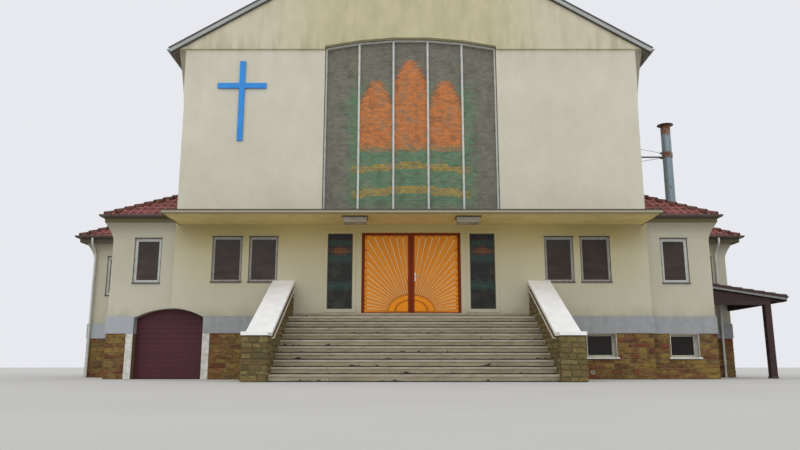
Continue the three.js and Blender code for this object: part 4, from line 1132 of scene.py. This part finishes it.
def concrete(name, light, deep, foot_shade=False):
    """Cast concrete between two tones with pits and long stains. The riser kind adds painted shade: a black
    line along the foot of each riser, where it meets the tread below, with a ragged upper edge and broken
    patches."""
    cast = Finish(name, rough=0.9)
    pour = cast.clouds(0.5, 4, (2, 1, 1))
    pits = cast.clouds(0.02, 4, rough=0.7)
    runs = cast.clouds(0.07, 4, (4, 4, 0.6), 0.65)
    cast_tone = cast.blend(pour, 0.3, 0.7, light, deep)
    cast_tone = cast.blend(runs, 0.48, 0.72, cast_tone, (112, 103, 84), 0, 0.6)
    cast_tone = cast.blend(pits, 0.58, 0.72, cast_tone, (84, 77, 64), 0, 0.7)
    if foot_shade:
        ragged = cast.between(cast.clouds(0.12, 5, (2, 1, 1), 0.7), 0.35, 0.75, 0.12, 0.2)
        broken = cast.between(cast.clouds(0.3, 4, (1.5, 1, 1), 0.7), 0.58, 0.7, 0, 0.34)
        band = cast.maths("ADD", cast.maths("ADD", ragged, broken), cast.times(cast.z, 0.09))
        above = cast.maths("SUBTRACT", cast.maths("FRACT", cast.maths("DIVIDE", cast.z, RISER_HIGH)), band)
        cast_tone = cast.blend(above, -0.03, 0.02, cast_tone, (36, 29, 24), 0.95, 0)
    return cast.done(cast_tone, cast.maths("ADD", pits, runs), 0.004, cast.between(pits, 0.3, 0.7, 0.8, 0.96))


CONCRETE = concrete("cast_concrete", (186, 178, 160), (166, 158, 138))
# Painted shade: the risers are a darker copy of the tread concrete, as they stand under the nosings.
SHADED_RISER = concrete("riser_concrete_in_shade", (170, 160, 136), (146, 136, 112), foot_shade=True)

# %% Steps
level = np.arange(1, 11)
nose = -LANDING - TREAD_DEEP * (10 - level)
tread_back = np.where(level < 10, nose + 0.315, -0.002)
riser_back = np.where(level < 10, nose + 0.33, -0.002)
top, slab = RISER_HIGH * level, 0.05
TREAD_HALF, RISER_HALF = 3.195, 3.19
joints = np.linspace(-TREAD_HALF, TREAD_HALF, 6)
slabs = [(a + 0.002, b - 0.002) for a, b in zip(joints[:-1], joints[1:])]
treads = [(*ends, y0, y1, z - slab, z) for y0, y1, z in zip(nose, tread_back, top) for ends in slabs]
treads += [(*ends, -0.06, -0.001, 1.69, 1.745) for ends in slabs]
risers = [(-RISER_HALF, RISER_HALF, y0, y1, RISER_HIGH * (k - 1), z - slab)
          for k, y0, y1, z in zip(level, nose + 0.02, riser_back, top)]
risers += [(-RISER_HALF, RISER_HALF, -0.045, -0.001, 1.601, 1.69)]
piece("step_treads", boxes(*treads), CONCRETE, edge=0.006, replaces=("front_steps",))
piece("step_risers", boxes(*risers), SHADED_RISER)

# %% [markdown]
# The flight runs between cheek walls of yellow rubble under smooth white copings. The rubble is made like
# the plinth's stones with wider joints and more wander. A tube handrail on stems follows the side of each
# wall that faces the steps, and turns back into it at both ends.

# %% Cheek walls
rubble = Finish("yellow_rubble", rough=0.95)
kind = rubble.node("Attribute", attribute_name="shade").outputs["Fac"]
crust = rubble.clouds(0.05, 5, rough=0.65)
kinds = rubble.ramp(kind, (0.0, (96, 86, 52)), (0.25, (136, 122, 74)), (0.5, (116, 100, 60)),
                    (0.75, (144, 130, 84)), (1.0, (112, 80, 50)))
RUBBLE = rubble.done(rubble.blend(crust, 0.35, 0.7, kinds, (76, 68, 44), 0, 0.65), crust, 0.02)
LIME = two_tone("rubble_mortar", (90, 79, 51), (112, 99, 66), 0.06, ends=(0.3, 0.7), depth=0.006, rough=0.95)
COPING_HIGH, COPING_LOW, COPING_BEND, COPING_END = 2.63, 1.08, 3.15, 3.6
run_up = (COPING_HIGH - COPING_LOW) / COPING_BEND


def cheek_face(at, along, start, end, high, seed):
    """Rubble over one face of a cheek wall: courses of uneven height with strongly moved corners."""
    rows = stone_rows(start, end, 0.0, high, 0.13, (0.12, 0.3), seed)
    shape, shades = stone_blocks(rows, seed + 1, (0.008, 0.026), 0.016, 0.013)
    return stood(shape, at, along), shades


CHEEK_IN, CHEEK_OUT = 3.2, 3.75
for side, sign in SIDES:
    x0, x1 = sorted((CHEEK_IN * sign, CHEEK_OUT * sign))
    bend, end, tall, short = COPING_BEND, COPING_END - 0.05, 2.6, 0.98
    sloping = faced(f"cheek_rubble_{side}", [
        cheek_face((x1, 0), (0, 1), -bend, 0.0, tall, 201 + sign),
        cheek_face((x0, 0), (0, -1), 0.0, bend, tall, 211 + sign)], RUBBLE)
    trimmed(sloping, [((0, FRONT, COPING_HIGH - 0.1), (0, -run_up, 1))], closed=True)
    faced(f"cheek_end_{side}", [
        cheek_face((x1, 0), (0, 1), -end - 0.01, -bend, short, 221 + sign),
        cheek_face((x0, 0), (0, -1), bend, end + 0.01, short, 231 + sign),
        cheek_face((0, -end), (1, 0), x0 - 0.01, x1 + 0.01, short, 241 + sign)], RUBBLE)

# %% Copings and handrails
section = [(-0.3, -0.08), (-0.285, -0.08), (-0.28, -0.074), (-0.27, -0.08), (0.27, -0.08), (0.28, -0.074),
           (0.285, -0.08), (0.3, -0.08), (0.3, -0.008), (0.292, 0.0), (-0.292, 0.0), (-0.3, -0.008)]
smooth = Finish("white_coping", rough=0.6)
veil = smooth.clouds(0.35, 4)
speck = smooth.clouds(0.03, 3)
coping_tone = smooth.blend(veil, 0.35, 0.7, (253, 253, 252), (240, 241, 238))
coping_tone = smooth.blend(speck, 0.6, 0.75, coping_tone, (206, 205, 198), 0, 0.4)
COPING = smooth.done(coping_tone, speck, 0.001)
RAIL = two_tone("dull_rail", (190, 182, 170), (164, 154, 142), 0.05, stretch=(1, 4, 1), depth=0.0005,
                rough=0.45)


def rail_height(away):
    """Height of the rail's middle line at a distance before the wall: 13 cm under the coping's top."""
    return COPING_HIGH - 0.13 - run_up * away


def coping_point(x, y):
    """A point on the sloping coping's top line: it falls evenly with the distance before the wall."""
    return x, y, COPING_HIGH + y * run_up


slab_joint, rail_near, rail_far = 1.7, 0.25, 3.15
for side, sign in SIDES:
    x = 3.475 * sign
    upper = carried([coping_point(x, 0.05), coping_point(x, 0.002 - slab_joint)], section)
    lower = carried([coping_point(x, -0.002 - slab_joint), (x, -COPING_BEND, COPING_LOW),
                     (x, -COPING_END, COPING_LOW)], section)
    piece(f"coping_slabs_{side}", together(upper, lower), COPING, edge=0.003,
          replaces=(f"coping_{side}",))
    wall_x, rail_x = CHEEK_IN * sign, 3.13 * sign
    line = rounded([(place, -away, rail_height(away)) for place, away in (
        (wall_x, rail_near), (rail_x, rail_near), (rail_x, rail_far), (wall_x, rail_far))], 0.045)
    stems = []
    for away in (0.4, 1.7, 3.0):
        z = rail_height(away)
        low = z - 0.07
        stem = rounded([(wall_x, -away, low), (rail_x, -away, low), (rail_x, -away, z - 0.012)], 0.03)
        stems.append(carried(stem, circle(0.008, 8), up=(0, 1, 0)))
        stems.append(carried([(wall_x, -away, low), (wall_x - 0.008 * sign, -away, low)], circle(0.032, 16)))
    tube = carried(line, circle(0.018, 14), up=(0.0, -0.44, -0.9))
    piece(f"rail_{side}", together(tube, *stems), RAIL, smooth=BEND,
          replaces=(f"handrail_{side}",))

# %% [markdown]
# ## Doors
# Both leaves are orange boards with battens that fan out from the foot of the meeting stiles over a low
# half disc, a common ornament for church doors. The battens follow rays from one centre; each starts on
# the rim of an oval and ends at the edge of its leaf, clear of the pivot side so that the leaf can swing.

# %% Door finishes
FAN_Z, FAN_FIRST, FAN_STEP = 1.8, 3.5, 5
DISC_X, DISC_Z = 0.61, 0.43
boards = Finish("orange_boards", rough=0.6, Specular_IOR_Level=0.2)
offset = boards.maths("SUBTRACT", boards.z, FAN_Z)
angle = boards.maths("ARCTAN2", offset, boards.maths("ABSOLUTE", boards.x))
wedge = boards.maths("FLOOR", boards.times(angle, 1 / math.radians(FAN_STEP)))
wedge_luck = boards.node("TexWhiteNoise", {"W": wedge}, noise_dimensions="1D").outputs[0]
fibre = boards.clouds(0.02, 4, (1, 1, 8), 0.6)
board_tone = boards.blend(wedge_luck, 0.0, 1.0, (246, 160, 46), (232, 142, 44), 0.15, 0.85)
board_tone = boards.blend(fibre, 0.4, 0.7, board_tone, (206, 118, 36), 0, 0.4)
past_first = boards.maths("SUBTRACT", angle, math.radians(FAN_FIRST))
nearest = boards.maths("PINGPONG", past_first, math.radians(FAN_STEP / 2))
from_foot = boards.node("CombineXYZ", {0: boards.x, 2: offset}).outputs[0]
reach = boards.node("VectorMath", {0: from_foot}, operation="LENGTH").outputs[1]
nearest = boards.times(nearest, reach)
# A dark line on both sides of each batten: partly the joint in the boards beside it, partly painted shadow of
# the batten.
board_tone = boards.blend(nearest, 0.014, 0.026, board_tone, (150, 80, 24), 0.6, 0)
WOOD = boards.done(board_tone, fibre, 0.0015, boards.between(fibre, 0.3, 0.7, 0.5, 0.7))

lit = Finish("orange_disc", rough=0.6, Specular_IOR_Level=0.2)
swirl = lit.clouds(0.03, 4, (6, 1, 1), 0.6)
share_x = lit.maths("DIVIDE", lit.x, DISC_X)
share_z = lit.maths("DIVIDE", lit.maths("SUBTRACT", lit.z, FAN_Z), DISC_Z)
on_disc = lit.node("CombineXYZ", {0: share_x, 2: share_z}).outputs[0]
from_ring = lit.node("VectorMath", {0: on_disc}, operation="LENGTH").outputs[1]
from_ring = lit.maths("ABSOLUTE", lit.maths("SUBTRACT", from_ring, 0.72))
lit_tone = lit.blend(swirl, 0.35, 0.7, (250, 160, 26), (236, 140, 22))
LIT = lit.done(lit.blend(from_ring, 0.03, 0.07, lit_tone, (160, 80, 14), 0.7, 0), swirl, 0.001)

RED = two_tone("red_brown_paint", (142, 54, 16), (114, 44, 10), 0.02, 4, (1, 1, 10), 0.6,
               Specular_IOR_Level=0.15)
PINE = two_tone("pale_batten", (255, 220, 160), (240, 194, 124), 0.015, 4, (2, 1, 2), 0.6,
                Specular_IOR_Level=0.2)

# %% Battens, disc and strips
LEAF_REACH, LEAF_RISE = 1.222, 2.062
rays = np.radians(np.arange(FAN_FIRST, 88, FAN_STEP))
cosine, sine = np.cos(rays), np.sin(rays)
inner_reach = 1 / np.sqrt((cosine / (DISC_X + 0.05)) ** 2 + (sine / (DISC_Z + 0.05)) ** 2)
outer_reach = np.minimum(LEAF_REACH / cosine, LEAF_RISE / sine)
inner_reach = np.maximum(inner_reach, 0.1 / cosine)
fan = inner_reach < outer_reach - 0.1
cosine, sine, inner_reach, outer_reach = cosine[fan], sine[fan], inner_reach[fan], outer_reach[fan]
wide_in, wide_out = 0.007, 0.015


def batten_fan():
    """Eight corners a batten: at each end, at the back and at the front, a half width to both sides of
    the ray; the front pair is a little narrower, and every end is pulled back so that it stays on the
    leaf."""
    pulled = outer_reach - 0.012 * (sine / cosine.clip(0.05)).clip(1, 3)
    reach = np.stack([inner_reach, pulled], -1)
    half = np.array([wide_in, wide_out])
    corners = []
    for depth, share in ((0.0805, 1.0), (0.071, 0.7)):
        for way in (-1, 1):
            x = cosine[:, None] * reach - way * sine[:, None] * half * share
            z = FAN_Z + sine[:, None] * reach + way * cosine[:, None] * half * share
            corners.append(np.stack([x, 0 * x + depth, z], -1))
    faces = [[4, 5, 7, 6], [0, 1, 5, 4], [6, 7, 3, 2], [0, 4, 6, 2], [1, 3, 7, 5], [0, 2, 3, 1]]
    return np.stack(corners, 1).reshape(-1, 3), [numbered(faces, 8, len(cosine))]


def oval_plate(reach_x, reach_z, from_x, depth, thick):
    """A quarter of an oval from the meeting strip outwards, with a rounded rim: x = a cos t, z = b sin t."""
    count = 22
    t = np.linspace(0.012, math.acos(from_x / reach_x), count)
    rim = np.stack([np.cos(t), np.sin(t)], -1)
    rows = []
    for inset, d in ((0.0, depth), (0.0, depth - thick * 0.6), (0.004, depth - thick)):
        x = np.append(np.maximum((reach_x - inset) * rim[:, 0], from_x), from_x)
        z = np.append(FAN_Z + (reach_z - inset) * rim[:, 1], FAN_Z + reach_z * rim[0, 1])
        rows.append(np.stack([x, 0 * x + d, z], -1))
    spokes = np.stack([np.arange(count - 1), np.arange(1, count), np.full(count - 1, count)], -1)
    rims = grid(3, count + 1, False, True)[:, ::-1]
    return np.vstack(rows), [rims, spokes + 2 * (count + 1), spokes[:, ::-1]]


for side, sign in SIDES:
    body = f"door_{side}"
    strip = boxes((0.005, 0.088, 0.07, 0.0802, 1.775, 3.88))
    piece(f"door_battens_{side}", for_side(batten_fan(), sign), PINE, body=body)
    disc = together(oval_plate(DISC_X, DISC_Z, 0.09, 0.0805, 0.006),
                    oval_plate(0.43, 0.3, 0.09, 0.075, 0.006))
    piece(f"door_disc_{side}", for_side(disc, sign), LIT, body=body)
    piece(f"door_strip_{side}", for_side(strip, sign), RED, body=body, edge=0.004)

steel = Finish("brushed_steel", rough=0.35, Metallic=0.85)
brush = steel.clouds(0.004, 3, (20, 1, 1))
steel_tone = steel.blend(brush, 0.3, 0.7, (186, 188, 188), (206, 208, 208))
STEEL = steel.done(steel_tone, brush, 0.0003, steel.between(brush, 0.3, 0.7, 0.25, 0.42))
grip_x, grip_z, lock_z = 0.11, 2.75, 2.67
plate = boxes((grip_x - 0.018, grip_x + 0.018, 0.073, 0.0803, 2.62, 2.86))
bent = rounded([(grip_x, 0.078, grip_z), (grip_x, 0.036, grip_z), (0.236, 0.036, grip_z)], 0.02)
lever = carried(bent, circle(0.009, 12))
rose = carried([(grip_x, 0.0735, grip_z), (grip_x, 0.066, grip_z)], circle(0.018, 18))
lock = carried([(grip_x, 0.0735, lock_z), (grip_x, 0.068, lock_z)], circle(0.009, 14))
piece("lever_handle", together(plate, lever, rose, lock), STEEL, body="door_right",
      smooth=BEND, replaces=("door_handle",))

# %% [markdown]
# ## Arch, flue, cross, porch and vent ring
# Low on the left a boarded burgundy arch closes the basement between two plastered jambs. On the right a
# rusty metal flue stands on the aisle roof. A plain blue cross hangs on the left wall on spacers. A small
# tiled porch roof with a boarded front fills the corner before the right aisle and stands on a timber
# post. A white vent ring sits low in the front plinth.

# %% Basement arch
PLUM = two_tone("burgundy_boards", (80, 14, 34), (58, 10, 26), 0.03, 4, (6, 1, 1), 0.6, depth=0.0015)
ARCH_X, ARCH_HALF, SPRING, RISE = -6.58, 0.98, 1.64, 0.25
ROUND = (ARCH_HALF ** 2 + RISE ** 2) / (2 * RISE)


def arch_half(z):
    """Half the arch's width at a height: the same up to the spring, then sqrt(R^2 - (z - c)^2) of its flat
    circle."""
    from_middle = np.clip(z, SPRING, SPRING + RISE) - (SPRING + RISE - ROUND)
    return np.sqrt(np.clip(ROUND ** 2 - from_middle ** 2, 0, None))


edges = np.linspace(0.03, 1.885, 15)
z = np.concatenate([np.linspace(a + 0.004, b, 5) for a, b in zip(edges[:-1], edges[1:])])
half = arch_half(z) * 0.99
rims = [np.stack([ARCH_X + way * half, 0 * z + 0.468, z], -1) for way in (-1, 1)]
corners = np.stack(rims, 1).reshape(-1, 3)
quads = numbered(grid(5, 2), 10, len(edges) - 1)[:, ::-1]
piece("arch_boards", (corners, [quads]), PLUM, thick=0.02)

jambs = boxes((-7.75, -7.56, WING_Y - 0.024, WING_Y + 0.001, 0, 1.208),
              (-5.6, -5.41, -0.024, 0.001, 0, 1.208))
piece("arch_jambs", jambs, PLASTER, edge=0.005)

# %% Flue
rust = Finish("rusty_flue", rough=0.55, Metallic=0.35)
eaten = rust.clouds(0.12, 5, rough=0.65)
near_joint = rust.maths("ABSOLUTE", rust.maths("SUBTRACT", rust.maths("FRACT", rust.z), 0.5))
near_clamp = rust.maths("ABSOLUTE", rust.maths("SUBTRACT", rust.z, 7.71))
rusted = rust.maths("ADD", rust.between(rust.z, 8.3, 8.75, 0, 0.34),
                    rust.between(near_joint, 0.0, 0.05, 0.1, 0))
rusted = rust.maths("ADD", rusted, rust.between(near_clamp, 0.06, 0.2, 0.24, 0))
share = rust.between(rust.maths("ADD", eaten, rusted), 0.6, 0.76)
flue_tone = rust.mixed(share, (132, 148, 156), (128, 84, 54))
RUST = rust.done(flue_tone, eaten, 0.003, rust.between(share, 0, 1, 0.4, 0.85))
FLUE_AT, FLUE_R, FLUE_FOOT, FLUE_TOP = (9.2, 5.0), 0.165, 5.15, 8.8
FLUE_SIDES = 32
seams = [(FLUE_R, FLUE_FOOT)]
for z in (5.8, 6.8, 7.8):
    seams += [(FLUE_R, z - 0.02), (0.171, z - 0.016), (0.171, z + 0.016), (FLUE_R, z + 0.02)]
stack = turned([(0.12, FLUE_FOOT), *seams, (FLUE_R, FLUE_TOP), (0.12, FLUE_TOP)], FLUE_AT, FLUE_SIDES)
cowl = turned([(0.001, FLUE_TOP), (0.2, FLUE_TOP), (0.275, 8.815), (0.28, 8.822),
               (0.278, 8.834), (0.12, 8.858), (0.001, 8.86)], FLUE_AT, FLUE_SIDES)
collar = turned([(0.15, 5.12), (0.31, 5.1), (0.2, 5.48), (0.178, 5.5), (0.15, 5.5)], FLUE_AT, FLUE_SIDES)
clamp = turned(oblong(FLUE_R, 0.18, 7.62, 7.79), FLUE_AT, FLUE_SIDES)
ears = boxes((8.965, 9.035, 4.93, 5.07, 7.59, 7.625), (8.965, 9.035, 4.93, 5.07, 7.77, 7.81))
stay = carried([(HALL_X, 5.0, 7.64), (9.03, 5.0, 7.64)], circle(0.028, 12))
wires = [carried([(9.0, 5.0, z), (HALL_X, y, 7.7)], circle(0.008, 8)) for y, z in ((3.5, 7.79), (7.2, 7.61))]
foot = boxes((HALL_X + 0.002, HALL_X + 0.014, 4.94, 5.06, 7.57, 7.71))
piece("flue", together(stack, collar, clamp), RUST, smooth=FINE_BEND, replaces=("flue_pipe",))
piece("flue_cowl", cowl, LEAD, smooth=FINE_BEND)
piece("flue_stay", together(stay, foot, ears), LEAD, smooth=FINE_BEND)
piece("flue_wires", together(*wires), ZINC, smooth=FINE_BEND)

# %% Cross
BLUE = two_tone("blue_enamel", (0, 140, 228), (2, 131, 212), 0.3, 3, rough=0.35)
CROSS_X = -4.85
half, arm, base, tip, low, high = 0.08, 0.7, 6.6, 9.0, 8.17, 8.33
outline = np.array([(-half, base), (half, base), (half, low), (arm, low), (arm, high), (half, high),
                    (half, tip), (-half, tip), (-half, high), (-arm, high), (-arm, low), (-half, low)])
layers = [np.column_stack([outline[:, 0] + CROSS_X, np.full(12, d), outline[:, 1]]) for d in (-0.018, -0.06)]
cap = np.array([[0, 1, 2, 11], [11, 2, 5, 8], [2, 3, 4, 5], [8, 9, 10, 11], [8, 5, 6, 7]])
solid = (np.vstack(layers), [grid(2, 12, False, True)[:, ::-1], cap + 12, cap[:, ::-1]])
spots = np.array([(CROSS_X, 0, 6.85), (CROSS_X, 0, 8.7), (CROSS_X - 0.5, 0, 8.25), (CROSS_X + 0.5, 0, 8.25)])
spacer = carried([(0, -0.02, 0), (0, 0.0, 0)], circle(0.02, 10))
piece("blue_cross", together(solid, repeated(spacer, spots)), BLUE, edge=0.006,
      replaces=("wall_cross",))

# %% Porch
TIMBER = two_tone("dark_timber", (60, 36, 32), (42, 26, 24), 0.02, 4, (6, 6, 1), 0.6, depth=0.002, rough=0.7)
AGED = two_tone("aged_tiles", (84, 62, 56), (58, 44, 40), 0.12, depth=0.003, rough=0.85)
PORCH_HIGH, PORCH_LOW, PORCH_TIP, PORCH_Y = 2.7, 2.3, 10.85, (1.2, AISLE_Y)
POST_X = 10.38
fall = (PORCH_HIGH - PORCH_LOW) / (PORCH_TIP - WING_X)


def under_roof(x, drop):
    """Height at a distance under the porch roof's top plane, which falls evenly from the side room's wall."""
    return PORCH_HIGH - fall * (x - WING_X) - drop


post = boxes((10.2, POST_X, 1.25, 1.43, 0.02, 2.08), (WING_X, POST_X, 1.25, 1.35, 2.08, 2.2),
             (10.2, 10.32, 1.35, AISLE_Y, 2.08, 2.25), (WING_X, WING_X + 0.06, 1.35, AISLE_Y, 2.44, 2.55))
cuts = np.linspace(WING_X, POST_X, 18)
strips = [(a + 0.003, b - 0.003, 1.275, 1.295, 2.2, 2.5) for a, b in zip(cuts[:-1], cuts[1:])]
boards_up, blocks = boxes(*strips)
tops = boards_up[:, 2] > 2.4
boards_up[tops, 2] = under_roof(boards_up[tops, 0], 0.115)
rafter = carried([(x, 0, under_roof(x, 0.15)) for x in (WING_X + 0.01, PORCH_TIP - 0.05)],
                 oblong(-0.03, 0.03, 0, 0.08))
rafters = repeated(rafter, [(0, y, 0) for y in np.linspace(1.42, 3.55, 5)])
deck = [carried([(x, y, under_roof(x, 0.07)) for y in PORCH_Y], oblong(-0.065, 0.065, 0, 0.02),
                up=(fall, 0, 1))
        for x in np.arange(WING_X + 0.1, PORCH_TIP - 0.05, 0.137)]
fascia = boxes((PORCH_TIP - 0.05, PORCH_TIP - 0.02, *PORCH_Y, 2.17, 2.29))
piece("porch_frame", together(post, rafters, fascia), TIMBER, edge=0.004,
      replaces=("side_porch",))
piece("porch_boards", together((boards_up, blocks), *deck), TIMBER)
shoe = boxes((10.19, 10.39, 1.24, 1.44, 0.0, 0.06))
pipe_foot = under_roof(PIPE_X["right"], -0.03)
flared = [(0.042, pipe_foot - 0.02), (0.085, pipe_foot - 0.02), (0.052, pipe_foot + 0.06),
          (0.042, pipe_foot + 0.06)]
collar = turned(flared, (PIPE_X["right"], AISLE_Y - 0.08), 16)
piece("porch_metal", together(shoe, collar), LEAD)
porch_climb = slope(math.degrees(math.atan(fall)), (-1, 0))
shape, places = tile_field((PORCH_TIP, PORCH_Y[0], PORCH_LOW - 0.035), (0, 1, 0), porch_climb, 2.4, 2.58, 9)
piece("porch_tiles", shape, AGED, thick=0.012)
verge_y, verge_end = PORCH_Y[0] + 0.06, WING_X + 0.02
verge = cap_row((PORCH_TIP, verge_y, PORCH_LOW), (verge_end, verge_y, under_roof(verge_end, 0)), 0.075, 0.34)
piece("porch_verge_tiles", verge, AGED, smooth=BEND, thick=0.014)
edge_line = [(x, PORCH_Y[0], under_roof(x, 0)) for x in (WING_X + 0.01, PORCH_TIP - 0.01)]
piece("porch_verge", carried(edge_line, oblong(-0.01, 0.014, -0.09, -0.035)), ZINC)
piece("porch_edge", carried(edge_line, oblong(-0.01, 0.012, -0.035, 0.02)), TIMBER)

# %% Vent ring
ring = turned([(0.03, 0.0), (0.05, 0.0), (0.05, 0.026), (0.044, 0.032), (0.03, 0.026)], (0, 0), 24)
corners = np.stack([ring[0][:, 0], -ring[0][:, 2], ring[0][:, 1]], -1) + [4.81, 0.0, 0.18]
piece("vent_ring", (corners, ring[1]), WHITE, smooth=FINE_BEND)

# %% [markdown]
# ## Finishes on the plain solids and floor
# The solids that still show take their finishes last: render on walls, mortar and band on the base, boards
# under the roofs. Then comes the pale floor.

# %% Finishes on the solids
soffit = Finish("soffit_boards", rough=0.8)
plank = soffit.maths("LESS_THAN", soffit.maths("FRACT", soffit.times(soffit.y, 8)), 0.06)
rub = soffit.clouds(0.1, 4, (1, 6, 1))
soffit_tone = soffit.blend(rub, 0.35, 0.7, (138, 136, 124), (120, 117, 104))
# Painted shade: the soffits of the low roofs, below 7.2 m, are painted darker.
soffit_tone = soffit.blend(soffit.z, 7.2, 7.4, soffit_tone, (98, 89, 62), 1, 0)
SOFFIT = soffit.done(soffit.mixed(soffit.times(plank, 0.6), soffit_tone, (70, 68, 60)), rub, 0.002)


def both(*stems):
    """The left and the right node of each stem."""
    return tuple(f"{stem}_{side}" for stem in stems for side, _ in SIDES)


coats = (
    (CREAM, ("front_gable", "back_wall", *both("upper_wall", "hall_wall", "side_wall"))),
    (CANOPY_LIGHT_RENDER, ("door_lintel", *both("front_wall"))),
    (MORTAR, ("plinth_front", "plinth_back", *both("plinth"))),
    (LIME, both("cheek_wall")),
    (CANOPY, ("canopy_slab",)),
    (CONCRETE, ("ground_slab", "entrance_floor")),
    (SOFFIT, both("hall_roof", "side_roof")),
    (CAME, ("tall_window_glass",)),
    (WOOD, both("door_leaf")),
    (RED, ("door_frame",)),
    (PLUM, ("basement_door",)),
)
for finish, names in coats:
    for name in names:
        solids[name].data.materials.clear()
        solids[name].data.materials.append(finish)
print("dressed solids:", sum(len(names) for _, names in coats))

# %% Floor
FLOOR_Z = -0.002
floor_mesh = bpy.data.meshes.new("pale_floor")
floor_mesh.from_pydata([(*spot, FLOOR_Z) for spot in oblong(-300, 300, -60, 400)], [], [(0, 1, 2, 3)])
matt = Finish("pale_floor", rough=0.95)
faint = matt.clouds(3.0, 3)
floor_mesh.materials.append(matt.done(matt.blend(faint, 0.3, 0.7, (196, 195, 190), (202, 201, 197))))
floor = bpy.data.objects.new("pale_floor", floor_mesh)
scene.collection.objects.link(floor)
